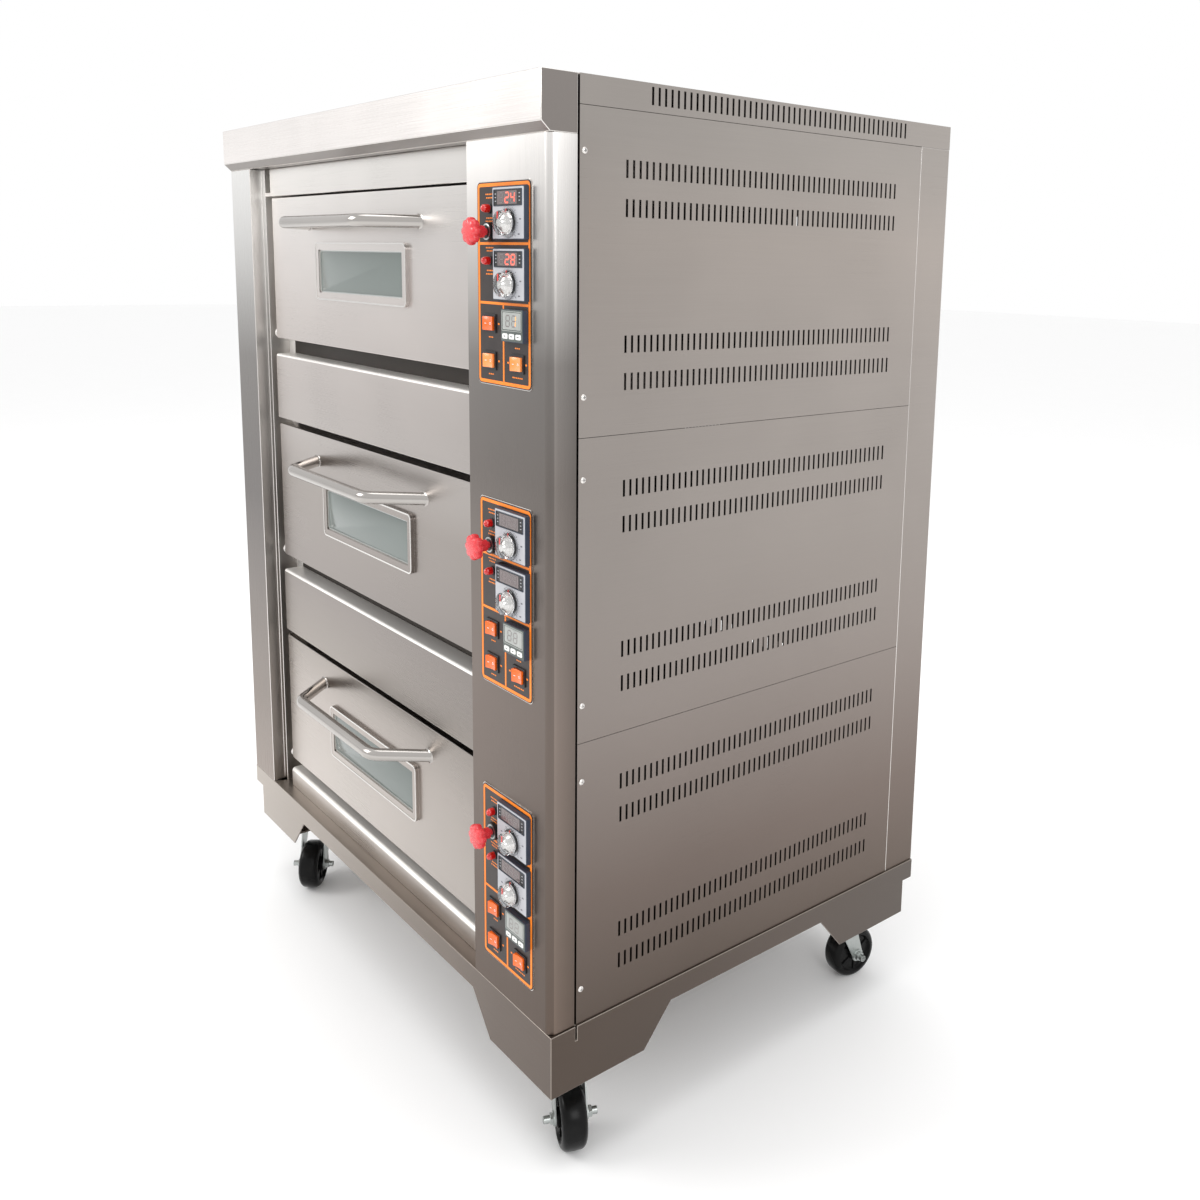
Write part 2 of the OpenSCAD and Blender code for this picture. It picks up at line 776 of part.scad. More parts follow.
module fork_plate(x) {
    points = [[-22, crown_z], [22, crown_z], [caster_trail + 13, wheel_d / 2],
        [caster_trail - 13, wheel_d / 2]];
    translate([x, 0, 0]) rotate([90, 0, 90]) linear_extrude(fork_t) {
        polygon(points);
        translate([caster_trail, wheel_d / 2]) circle(r = 13);
    }
}

module caster_fork(c) {
    inner = fork_gap / 2;
    color("silver") at_caster(c) mirror([0, trail_side(c) < 0 ? 1 : 0, 0]) {
        translate([0, 0, crown_z - crown_t]) cylinder(r = race_r - 1, h = crown_t);
        translate([0, 0, crown_z - 1]) cylinder(r = king_r, h = caster_h - crown_z);
        for (x = [-inner - fork_t, inner]) fork_plate(x);
        translate([-axle_half, caster_trail, wheel_d / 2]) rotate([0, 90, 0]) {
            cylinder(r = axle_r, h = 2 * axle_half);
            translate([0, 0, axle_half - inner - fork_t - 6]) cylinder(r = 9.5, h = 6.5, $fn = 6);
            translate([0, 0, axle_half + inner + fork_t - 0.5]) cylinder(r = 9.5, h = 8.5, $fn = 6);
        }
    }
}

module caster_wheel(c) {
    r = wheel_d / 2;
    hub = fork_gap / 2 - slide_gap;
    bore = axle_r + run_gap;
    half = wheel_w / 2;
    round_r = 12;
    color("black") at_caster(c) translate([0, trail_side(c) * caster_trail, r]) rotate([0, 90, 0])
        rotate_extrude() {
            translate([bore, -hub]) square([15 - bore, 2 * hub]);
            translate([14, 5 - half]) square([r - 24, wheel_w - 10]);
            translate([r - 15, -half]) square([15 - round_r, wheel_w]);
            translate([r - round_r - 1, round_r - half]) square([round_r + 1, wheel_w - 2 * round_r]);
            for (side = [-1, 1]) translate([r - round_r, side * (half - round_r)]) circle(r = round_r);
        }
}

// ---- Nodes ----

base_frame();
hood();
roof_cover();
control_column();
corner_posts();
side_panels();
back_panel();
fixed_fronts();
baking_chambers();
heating_elements();
fascia_plates();
instrument_modules();
switch_housings();
indicator_lamps();
caster_plates();
cable_gland();
for (k = DECKS) {
    door_panel(k);
    door_glass(k);
    door_handle(k);
    mushroom(k);
    for (i = [0, 1]) knob(k, i);
    for (i = [0:2]) rocker(k, i);
    for (i = [0:2]) timer_key(k, i);
}
for (c = CORNERS) {
    caster_fork(c);
    caster_wheel(c);
}
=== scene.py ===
import math
import random

import bmesh
import bpy
from mathutils import Matrix, Vector


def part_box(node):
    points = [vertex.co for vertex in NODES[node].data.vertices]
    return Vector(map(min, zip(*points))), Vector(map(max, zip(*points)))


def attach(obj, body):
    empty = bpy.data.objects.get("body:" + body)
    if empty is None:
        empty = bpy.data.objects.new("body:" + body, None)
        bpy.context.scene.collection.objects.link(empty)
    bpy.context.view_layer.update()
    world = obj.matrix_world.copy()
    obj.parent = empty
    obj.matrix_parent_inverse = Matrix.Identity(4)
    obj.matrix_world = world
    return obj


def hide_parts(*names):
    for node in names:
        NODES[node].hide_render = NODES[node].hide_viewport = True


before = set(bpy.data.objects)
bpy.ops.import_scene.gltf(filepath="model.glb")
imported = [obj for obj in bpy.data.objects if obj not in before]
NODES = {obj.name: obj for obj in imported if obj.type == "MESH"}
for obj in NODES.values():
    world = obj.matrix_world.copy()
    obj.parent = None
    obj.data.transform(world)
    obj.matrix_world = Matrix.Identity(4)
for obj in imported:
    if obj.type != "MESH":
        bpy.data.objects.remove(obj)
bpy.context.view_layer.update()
ROOT = "oven"
rng = random.Random(7)
MM = 0.001


# ---------------------------------------------------------------- sizes, in mm, read from the frame
def node_box(node):
    """A CAD node's lowest and highest corners at rest, in mm to a thousandth."""
    return [[round(c / MM, 3) for c in corner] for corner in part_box(node)]


DECKS = (1, 2, 3)
FRONT = node_box("control_column")[0][1]
SIDE_X = node_box("control_column")[1][0]
BASE_TOP = node_box("base_frame")[1][2]
ROOF_Z = node_box("roof_cover")[0][2]
REAR, TOTAL_H = node_box("roof_cover")[1][1:]

# the door's front face lies behind the casing's; its hinge ears reach past its sides
DOOR_INSET, EAR_REACH = 28.0, 9.5
DOOR_LOW, DOOR_HIGH = node_box("door_1_panel")
DOOR_X0, DOOR_X1 = DOOR_LOW[0] + EAR_REACH, DOOR_HIGH[0] - EAR_REACH
DOOR_CX = (DOOR_X0 + DOOR_X1) / 2
DOOR_Y = FRONT + DOOR_INSET
DOOR_H = DOOR_HIGH[2] - DOOR_LOW[2]
DOOR_Z = {k: node_box(f"door_{k}_panel")[0][2] for k in DECKS}

FASCIA_DROP = 3.0
(FASCIA_X, FASCIA_Y, FASCIA_Z), (FASCIA_X1, _, _) = node_box("fascia_plates")
FASCIA_W = FASCIA_X1 - FASCIA_X


def fascia_top(k):
    return DOOR_Z[k] + DOOR_H - FASCIA_DROP


FASCIA_H = fascia_top(DECKS[-1]) - FASCIA_Z


# ---------------------------------------------------------------- materials
def material(name):
    m = bpy.data.materials.new(name)
    m.use_nodes = True
    nt = m.node_tree
    return m, nt, nt.nodes["Principled BSDF"]


def tex_noise(nt, scale, stretch=(1, 1, 1), detail=4.0, rough=0.5):
    """A noise texture in object space, stretched along an axis."""
    co = nt.nodes.new("ShaderNodeTexCoord")
    mp = nt.nodes.new("ShaderNodeMapping")
    mp.inputs["Scale"].default_value = stretch
    no = nt.nodes.new("ShaderNodeTexNoise")
    no.inputs["Scale"].default_value = scale
    no.inputs["Detail"].default_value = detail
    no.inputs["Roughness"].default_value = rough
    nt.links.new(co.outputs["Object"], mp.inputs["Vector"])
    nt.links.new(mp.outputs["Vector"], no.inputs["Vector"])
    return no.outputs["Fac"]


def remap(nt, fac, lo, hi, a=0.0, b=1.0):
    mr = nt.nodes.new("ShaderNodeMapRange")
    mr.inputs["From Min"].default_value = a
    mr.inputs["From Max"].default_value = b
    mr.inputs["To Min"].default_value = lo
    mr.inputs["To Max"].default_value = hi
    nt.links.new(fac, mr.inputs["Value"])
    return mr.outputs["Result"]


def mix_color(nt, fac, c1, c2):
    mx = nt.nodes.new("ShaderNodeMix")
    mx.data_type = "RGBA"
    for sock, c in ((mx.inputs[6], c1), (mx.inputs[7], c2)):
        if hasattr(c, "is_output"):
            nt.links.new(c, sock)
        else:
            sock.default_value = (*c, 1)
    nt.links.new(fac, mx.inputs[0])
    return mx.outputs[2]


def bump(nt, bsdf, fac, strength, dist):
    b = nt.nodes.new("ShaderNodeBump")
    b.inputs["Strength"].default_value = strength
    b.inputs["Distance"].default_value = dist
    nt.links.new(fac, b.inputs["Height"])
    nt.links.new(b.outputs["Normal"], bsdf.inputs["Normal"])


def shade(r, g, b):
    """A display colour, 0 to 255, as a linear one."""
    return tuple(((c / 255 + 0.055) / 1.055) ** 2.4 if c > 10 else c / 255 / 12.92 for c in (r, g, b))


def plain(r, g, b):
    """The stops of a sheet with one tone all over."""
    return [(0, (r, g, b))]


def along(nt, axis, lo, hi):
    co = nt.nodes.new("ShaderNodeTexCoord")
    sp = nt.nodes.new("ShaderNodeSeparateXYZ")
    nt.links.new(co.outputs["Object"], sp.inputs["Vector"])
    return remap(nt, sp.outputs[axis.upper()], 0.0, 1.0, lo, hi)


def multiply(nt, color, fac):
    mx = nt.nodes.new("ShaderNodeMix")
    mx.data_type = "RGBA"
    mx.blend_type = "MULTIPLY"
    mx.inputs[0].default_value = 1.0
    nt.links.new(color, mx.inputs[6])
    nt.links.new(fac, mx.inputs[7])
    return mx.outputs[2]


def steel(name, stops, axis="z", grain="x", rough=(0.24, 0.36), side=None, strength=0.035, vary=0.03):
    """Brushed stainless sheet. Its tone runs along one axis through the stops, (position in m, display
    colour), and may rise or fall along a second one: painted light, shade and reflections in the
    sheet. On top lie fine grain and cloudy smudges."""
    m, nt, bs = material(name)
    st = {"x": (1.5, 420, 420), "y": (420, 1.5, 420), "z": (420, 420, 1.5)}[grain]
    fine = tex_noise(nt, 4.0, st, 5.0, 0.6)
    cloud = tex_noise(nt, 2.6, (1, 1, 1), 3.0, 0.5)
    lo, hi = stops[0][0], stops[-1][0]
    if len(stops) > 1:
        cr = nt.nodes.new("ShaderNodeValToRGB")
        el = cr.color_ramp.elements
        while len(el) < len(stops):
            el.new(0.5)
        for e, (z, c) in zip(el, stops):
            e.position = (z - lo) / (hi - lo)
        for e, (z, c) in zip(el, stops):
            e.color = (*shade(*c), 1)
        nt.links.new(along(nt, axis, lo, hi), cr.inputs["Fac"])
        col = cr.outputs["Color"]
    else:
        rgb = nt.nodes.new("ShaderNodeRGB")
        rgb.outputs[0].default_value = (*shade(*stops[0][1]), 1)
        col = rgb.outputs[0]
    col = multiply(nt, col, remap(nt, fine, 1 - vary, 1 + vary, 0.3, 0.7))
    col = multiply(nt, col, remap(nt, cloud, 0.95, 1.05, 0.3, 0.7))
    if side:
        ax, s0, s1, f0, f1 = side
        col = multiply(nt, col, remap(nt, along(nt, ax, s0, s1), f0, f1))
    nt.links.new(col, bs.inputs["Base Color"])
    bs.inputs["Metallic"].default_value = 1.0
    ad = nt.nodes.new("ShaderNodeMath")
    ad.operation = "ADD"
    nt.links.new(remap(nt, fine, rough[0], rough[1], 0.3, 0.7), ad.inputs[0])
    nt.links.new(remap(nt, cloud, -0.05, 0.06, 0.3, 0.7), ad.inputs[1])
    nt.links.new(ad.outputs[0], bs.inputs["Roughness"])
    bump(nt, bs, fine, strength, 0.0004)
    return m


def plastic(name, color, rough=0.35, grain=900, strength=0.08, coat=0.0, second=None, trans=0.0, emit=0.0,
            spec=0.5):
    """Moulded plastic or print: fine grain, with soft clouds between its colour and a second one."""
    m, nt, bs = material(name)
    n = tex_noise(nt, grain, (1, 1, 1), 3.0, 0.5)
    soft = tex_noise(nt, 35, (1, 1, 1), 2.0, 0.5)
    c2 = second or tuple(c * 0.86 for c in color)
    nt.links.new(mix_color(nt, remap(nt, soft, 0, 1, 0.3, 0.7), color, c2), bs.inputs["Base Color"])
    nt.links.new(remap(nt, n, rough * 0.85, rough * 1.2), bs.inputs["Roughness"])
    bs.inputs["Coat Weight"].default_value = coat
    bs.inputs["Specular IOR Level"].default_value = spec
    bs.inputs["Transmission Weight"].default_value = trans
    if emit:
        bs.inputs["Emission Color"].default_value = (*color, 1)
        bs.inputs["Emission Strength"].default_value = emit
    bump(nt, bs, n, strength, 0.0002)
    return m


def glow(name, color, power):
    m, nt, bs = material(name)
    n = tex_noise(nt, 300, (1, 1, 1), 2.0, 0.5)
    c2 = tuple(c * 0.8 for c in color)
    nt.links.new(mix_color(nt, n, color, c2), bs.inputs["Base Color"])
    bs.inputs["Emission Color"].default_value = (*color, 1)
    bs.inputs["Emission Strength"].default_value = power
    bs.inputs["Roughness"].default_value = 0.4
    return m


# painted light and shade of the sheets: tones that rise and fall with height or place stand for the
# light falling on them and the reflections in them, as (height or place in m, display colour)
SIDE = [(0.25, (96, 86, 79)), (0.45, (112, 101, 95)), (0.75, (138, 130, 125)), (0.95, (148, 141, 136)),
        (1.2, (158, 151, 146)), (1.45, (164, 156, 150)), (1.6, (160, 154, 149))]
COLUMN = [(0.25, (100, 88, 80)), (0.45, (104, 93, 86)), (0.75, (112, 102, 96)), (1.1, (112, 106, 102)),
          (1.27, (124, 120, 117)), (1.43, (192, 189, 186)), (1.58, (240, 237, 234))]
POST = [(0.25, (138, 126, 118)), (0.45, (118, 107, 99)), (0.9, (98, 92, 89)), (1.2, (128, 124, 121)),
        (1.45, (206, 205, 203)), (1.58, (230, 229, 227))]
DOOR = [(0.25, (206, 199, 193)), (0.33, (190, 183, 177)), (0.5, (172, 164, 158)), (0.62, (146, 139, 133)),
        (0.75, (138, 131, 127)), (0.95, (156, 149, 144)), (1.06, (182, 176, 172)), (1.15, (188, 181, 177)),
        (1.3, (202, 195, 191)), (1.45, (214, 209, 206)), (1.584, (228, 225, 221))]
BASE = [(-0.61, (176, 168, 160)), (0.0, (146, 137, 129)), (0.45, (114, 104, 97)), (0.61, (106, 96, 89))]
BASE_SIDE = [(-0.41, (88, 78, 71)), (0.0, (100, 91, 85)), (0.44, (101, 94, 89))]
JAMB = [(0.25, (150, 144, 139)), (0.9, (176, 172, 168)), (1.6, (232, 230, 227))]
# the side panels are darker low down and at the front, lighter towards the top and the rear: painted light
# and shade
M_SIDE = steel("steel side", SIDE, "z", "y", (0.30, 0.42), ("y", -0.36, 0.44, 0.96, 1.24))
# the column is lighter at the top and to the left, a painted reflection; its side face copy is lighter at the
# front corner, a painted highlight
M_COL = steel("steel column", COLUMN, "z", "z", (0.28, 0.38), ("x", 0.385, 0.607, 1.07, 0.9), 0.03, 0.025)
M_COL2 = steel("steel column side", COLUMN, "z", "z", (0.26, 0.36), ("y", -0.4, -0.366, 1.3, 0.92),
               0.03, 0.025)
# the post's bands of light and dark up its height are painted highlights and shade
M_POST = steel("steel post", POST, "z", "z", (0.20, 0.30))
# the doors are lighter to the left and at the bottom and top: painted light and reflections
M_DOOR = steel("steel door", DOOR, "z", "x", (0.26, 0.33), ("x", -0.46, 0.37, 1.12, 0.84), 0.028, 0.02)
# the post's inner return is painted bright, a painted highlight
M_JAMB = steel("steel jamb", JAMB, "z", "z", (0.3, 0.4))
# the hood's front takes bright steel and its other faces a darker copy: painted light and shade
M_HOOD = steel("steel hood", plain(238, 233, 230), "z", "x", (0.22, 0.32))
M_HOOD_PAINTED_SHADE = steel("steel hood painted shade", plain(138, 132, 128), "z", "x", (0.28, 0.38))
# the base front is lighter to the left and darker to the right, painted light; its side and rear faces take a
# darker copy, painted shade
M_BASE = steel("steel base", BASE, "x", "x", (0.28, 0.4))
M_BASE_SIDE_SHADE = steel("steel base side painted shade", BASE_SIDE, "y", "y", (0.3, 0.42))
# brighter steel for the bevels of the hood, posts, doors and fixed fronts, a painted highlight along their
# edges; it is also the steel of the screw heads and the fascia plates' edge rings
M_EDGE = steel("steel bright edge", plain(222, 218, 214), "z", "x", (0.16, 0.26))
# brighter steel on the base frame's bevels, a painted highlight along its edges
M_BASE_EDGE_HIGHLIGHT = steel("steel base edge painted highlight", plain(150, 141, 133), "z", "x", (0.2, 0.3))
# bright, half-metallic steel on the tops of the fixed fronts and the chamber wall beside the doors: a painted
# highlight
M_LEDGE = steel("steel ledge", plain(240, 237, 233), "z", "x", (0.3, 0.45))
M_LEDGE.node_tree.nodes["Principled BSDF"].inputs["Metallic"].default_value = 0.55
M_TRIM = steel("steel trim", plain(216, 214, 211), "z", "x", (0.14, 0.24), None, 0.03)
M_TUBE = steel("polished tube", plain(176, 172, 168), "z", "x", (0.10, 0.17), None, 0.02)
M_ZINC = steel("zinc plate", plain(176, 180, 178), "z", "z", (0.25, 0.42), None, 0.12, 0.1)
# the chambers' own steel, made dark; in the gaps round the doors this darkness is also painted shade
M_DARK = steel("dark chamber steel", plain(70, 66, 63), "z", "y", (0.45, 0.6), None, 0.1, 0.12)
M_ROD = steel("heating tube", plain(128, 106, 92), "z", "x", (0.4, 0.6), None, 0.2, 0.15)
M_PLATE = plastic("fascia print", (0.028, 0.021, 0.020), 0.32, 1200, 0.05, 0.0,
                  (0.036, 0.028, 0.026), spec=0.3)
M_ORANGE = plastic("orange print", (1.0, 0.27, 0.02), 0.4, 900, 0.04, 0.0, (0.95, 0.23, 0.018), spec=0.3)
M_SLATE = plastic("slate casing", (0.030, 0.042, 0.064), 0.42, 1500, 0.12, 0.0,
                  (0.042, 0.055, 0.08), spec=0.35)
M_FACE = plastic("grey faceplate", (0.44, 0.445, 0.475), 0.38, 1500, 0.08, 0.0, (0.49, 0.495, 0.52),
                 spec=0.4)
M_TIMER = plastic("timer face", (0.085, 0.10, 0.092), 0.4, 1500, 0.08, 0.0, (0.10, 0.12, 0.11), spec=0.4)
M_LCD = plastic("display window", (0.12, 0.095, 0.095), 0.16, 400, 0.01, 0.3, (0.16, 0.12, 0.12))
M_LCD2 = plastic("timer window", (0.34, 0.36, 0.34), 0.15, 400, 0.01, 0.3, (0.40, 0.41, 0.39))
M_BLACK = plastic("black plastic", (0.014, 0.014, 0.015), 0.34, 1300, 0.12, 0.0,
                  (0.024, 0.024, 0.026), spec=0.3)
M_WHITE = plastic("white key", (0.82, 0.83, 0.81), 0.3, 900, 0.05, 0.2, (0.88, 0.88, 0.86))
M_ROCKER = plastic("orange rocker", (0.93, 0.15, 0.008), 0.25, 900, 0.03, 0.3, (0.85, 0.12, 0.006))
M_ROCKLIT = plastic("lit rocker", (1.0, 0.25, 0.04), 0.25, 900, 0.03, 0.3, (1.0, 0.34, 0.1), 0.0, 0.06)
M_RED = plastic("red lamp", (0.86, 0.016, 0.012), 0.12, 500, 0.02, 0.8, (0.75, 0.01, 0.01), 0.25)
M_MUSH = plastic("red button", (0.84, 0.055, 0.065), 0.26, 700, 0.04, 0.4, (0.72, 0.03, 0.04), 0.1)
M_RUBBER = plastic("wheel rubber", (0.005, 0.005, 0.005), 0.24, 1100, 0.1, 0.0,
                   (0.008, 0.008, 0.008), spec=0.12)
M_TICK = plastic("dark tick print", (0.12, 0.12, 0.14), 0.5, 900, 0.02)
M_DIGIT = glow("lit digit", (1.0, 0.10, 0.06), 2.4)
M_DIGIT2 = glow("amber digit", (1.0, 0.30, 0.05), 1.6)
M_OFF = plastic("unlit digit", (0.19, 0.16, 0.16), 0.3, 600, 0.01)
M_POINT = plastic("red pointer", (0.78, 0.05, 0.04), 0.3, 800, 0.03, 0.3)


def glass(name, color, rough, trans, ior=1.49, spec=0.5):
    m, nt, bs = material(name)
    n = tex_noise(nt, 9, (1, 1, 1), 3.0, 0.5)
    nt.links.new(mix_color(nt, n, color, tuple(c * 0.93 for c in color)), bs.inputs["Base Color"])
    nt.links.new(remap(nt, n, rough * 0.8, rough * 1.25), bs.inputs["Roughness"])
    bs.inputs["Transmission Weight"].default_value = trans
    bs.inputs["IOR"].default_value = ior
    bs.inputs["Specular IOR Level"].default_value = spec
    return m


M_GLASS = glass("oven window", (0.23, 0.265, 0.25), 0.12, 0.25, 1.5, 0.5)
M_CLEAR = glass("clear knob plastic", (0.95, 0.96, 0.97), 0.03, 1.0, 1.42)


# ---------------------------------------------------------------- mesh helpers
def finish_mesh(name, bm, mats, body, angle=32):
    bmesh.ops.recalc_face_normals(bm, faces=bm.faces)
    lim = math.radians(angle)
    for e in bm.edges:
        e.smooth = not (len(e.link_faces) == 2 and e.calc_face_angle(0) > lim)
    for f in bm.faces:
        f.smooth = True
    me = bpy.data.meshes.new(name)
    bm.to_mesh(me)
    bm.free()
    ob = bpy.data.objects.new(name, me)
    bpy.context.scene.collection.objects.link(ob)
    for m in (mats if isinstance(mats, (list, tuple)) else [mats]):
        me.materials.append(m)
    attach(ob, body)
    return ob


def add_bevel(ob, width, segs=2, angle=35, edge=-1):
    b = ob.modifiers.new("bevel", "BEVEL")
    b.width = width * MM
    b.segments = segs
    b.limit_method = "ANGLE"
    b.angle_limit = math.radians(angle)
    b.use_clamp_overlap = True
    b.material = edge
    w = ob.modifiers.new("weighted", "WEIGHTED_NORMAL")
    w.keep_sharp = True
    return ob


def from_cad(node, mats, body, width=0.0, segs=2, pick=None, angle=35, edge=-1, shape=None):
    """A clean copy of a CAD node with softened edges, standing for it. edge is the bevels' material."""
    bm = bmesh.new()
    bm.from_mesh(NODES[node].data)
    bmesh.ops.remove_doubles(bm, verts=bm.verts, dist=2e-6)
    bmesh.ops.dissolve_limit(bm, angle_limit=math.radians(0.4), verts=bm.verts, edges=bm.edges)
    bm.normal_update()
    if shape:
        shape(bm)
        bm.normal_update()
    for f in bm.faces:
        f.material_index = pick(f) if pick else 0
    ob = finish_mesh(node + "_look", bm, mats, body)
    if width:
        add_bevel(ob, width, segs, angle, edge)
    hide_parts(node)
    return ob


def lathe_bm(bm, profile, mtx, segs=48, mat=0, lobes=0, depth=0.0, lobe_range=None):
    """Adds a turned shape: profile is (radius, height) in mm, turned about local Z and placed by mtx."""
    rings = []
    for r, h in profile:
        ring = []
        if r < 1e-6:
            ring = [bm.verts.new(mtx @ Vector((0, 0, h * MM)))] * segs
        else:
            for i in range(segs):
                a = 2 * math.pi * i / segs
                rr = r
                if lobes and (lobe_range is None or lobe_range[0] <= h <= lobe_range[1]):
                    rr = r - depth * (0.5 - 0.5 * math.cos(lobes * a)) ** 2
                at = Vector((rr * MM * math.cos(a), rr * MM * math.sin(a), h * MM))
                ring.append(bm.verts.new(mtx @ at))
        rings.append(ring)
    for a, b in zip(rings, rings[1:]):
        for i in range(segs):
            j = (i + 1) % segs
            q = []
            for v in (a[i], a[j], b[j], b[i]):
                if v not in q:
                    q.append(v)
            if len(q) > 2:
                bm.faces.new(q).material_index = mat
    for ring in (rings[0], rings[-1]):
        if ring[0] is not ring[1]:
            bm.faces.new(ring).material_index = mat


def facing(x, y, z, axis="-y"):
    """Local Z points out along an axis from a point in mm."""
    rot = {"-y": Matrix.Rotation(math.pi / 2, 4, "X"), "+y": Matrix.Rotation(-math.pi / 2, 4, "X"),
           "+x": Matrix.Rotation(math.pi / 2, 4, "Y"), "-x": Matrix.Rotation(-math.pi / 2, 4, "Y"),
           "+z": Matrix.Identity(4)}[axis]
    return Matrix.Translation(Vector((x, y, z)) * MM) @ rot


def rrect(w, h, r, n=6):
    pts = []
    for cx, cz, a0 in ((w - r, r, -90), (w - r, h - r, 0), (r, h - r, 90), (r, r, 180)):
        for i in range(n + 1):
            a = math.radians(a0 + 90 * i / n)
            pts.append((cx + r * math.cos(a), cz + r * math.sin(a)))
    return pts


def ring_bm(bm, x, z, w, h, r, line, y0, y1, mat=0):
    """A rounded frame of one line width, standing from y0 out to y1 (mm); x, z is its lower left corner."""
    a = rrect(w, h, r)
    b = [(px + line, pz + line) for px, pz in rrect(w - 2 * line, h - 2 * line, max(r - line, 0.3))]
    n = len(a)
    v = [[bm.verts.new(((x + p[0]) * MM, yy * MM, (z + p[1]) * MM)) for p in loop]
         for loop in (a, b) for yy in (y0, y1)]
    ao, ai, bo, bi = v
    for i in range(n):
        j = (i + 1) % n
        for q in ((ai[i], ai[j], bi[j], bi[i]), (ao[i], ao[j], ai[j], ai[i]), (bi[i], bi[j], bo[j], bo[i]),
                  (bo[i], bo[j], ao[j], ao[i])):
            bm.faces.new(q).material_index = mat


def plate_bm(bm, x, z, w, h, r, y0, y1, mat=0, bevel=0.0):
    """A rounded plate from y0 out to y1 (mm)."""
    pts = rrect(w, h, r)
    lay = [(y0, 0.0)]
    if bevel:
        lay += [(y1 + bevel, 0.0), (y1 + bevel * 0.3, bevel * 0.3), (y1, bevel)]
    else:
        lay += [(y1, 0.0)]
    cx, cz = w / 2, h / 2
    rows = []
    for yy, ins in lay:
        sx, sz = (w - 2 * ins) / w, (h - 2 * ins) / h
        rows.append([bm.verts.new(((x + cx + (px - cx) * sx) * MM, yy * MM, (z + cz + (pz - cz) * sz) * MM))
                     for px, pz in pts])
    n = len(pts)
    for a, b in zip(rows, rows[1:]):
        for i in range(n):
            j = (i + 1) % n
            bm.faces.new((a[i], a[j], b[j], b[i])).material_index = mat
    bm.faces.new(rows[0]).material_index = mat
    bm.faces.new(rows[-1]).material_index = mat


def sweep_bm(bm, path, radius, segs=36, mat=0):
    """A round bar along points in a plane of constant z (mm)."""
    rings = []
    for i, p in enumerate(path):
        a = Vector(path[max(i - 1, 0)])
        b = Vector(path[min(i + 1, len(path) - 1)])
        t = (b - a).normalized()
        n = Vector((-t.y, t.x, 0))
        rings.append([bm.verts.new((Vector(p) + radius * (math.cos(2 * math.pi * k / segs) * n + Vector(
            (0, 0, math.sin(2 * math.pi * k / segs))))) * MM) for k in range(segs)])
    for a, b in zip(rings, rings[1:]):
        for k in range(segs):
            j = (k + 1) % segs
            bm.faces.new((a[k], a[j], b[j], b[k])).material_index = mat
    bm.faces.new(rings[0]).material_index = mat
    bm.faces.new(rings[-1]).material_index = mat


# ---------------------------------------------------------------- casing
# how far the fixed fronts lie behind the casing's front, and the radius of their rolled upper edges
FIXED_INSET, ROLLED_EDGE = 25, 6.0
# the chamber wall's strips beside a door, painted bright as a painted highlight, start this far inside its
# edges, in front of this depth
STRIP_IN, STRIP_Y = 3, -0.338
# the left post's inner return lies between these, in m
JAMB_X = (-0.51, -0.46)


def round_tops(bm):
    """Rolls the upper front edges of the fixed front panels."""
    y = (FRONT + FIXED_INSET) * MM
    es = []
    for e in bm.edges:
        if e.calc_length() < 0.3 or len(e.link_faces) != 2:
            continue
        if max(abs(v.co.y - y) for v in e.verts) > 1e-4:
            continue
        n = [f.normal for f in e.link_faces]
        if max(v.z for v in n) > 0.9 and min(v.y for v in n) < -0.9:
            es.append(e)
    bmesh.ops.bevel(bm, geom=es, offset=ROLLED_EDGE * MM, segments=6, profile=0.5, affect="EDGES",
                    clamp_overlap=True)


def split_wall(bm):
    """Cuts the chambers' front wall where its side strips of painted highlight end."""
    for x in (DOOR_X0 + STRIP_IN, DOOR_X1 - STRIP_IN):
        geom = bm.verts[:] + bm.edges[:] + bm.faces[:]
        bmesh.ops.bisect_plane(bm, geom=geom, plane_co=(x * MM, 0, 0), plane_no=(1, 0, 0))


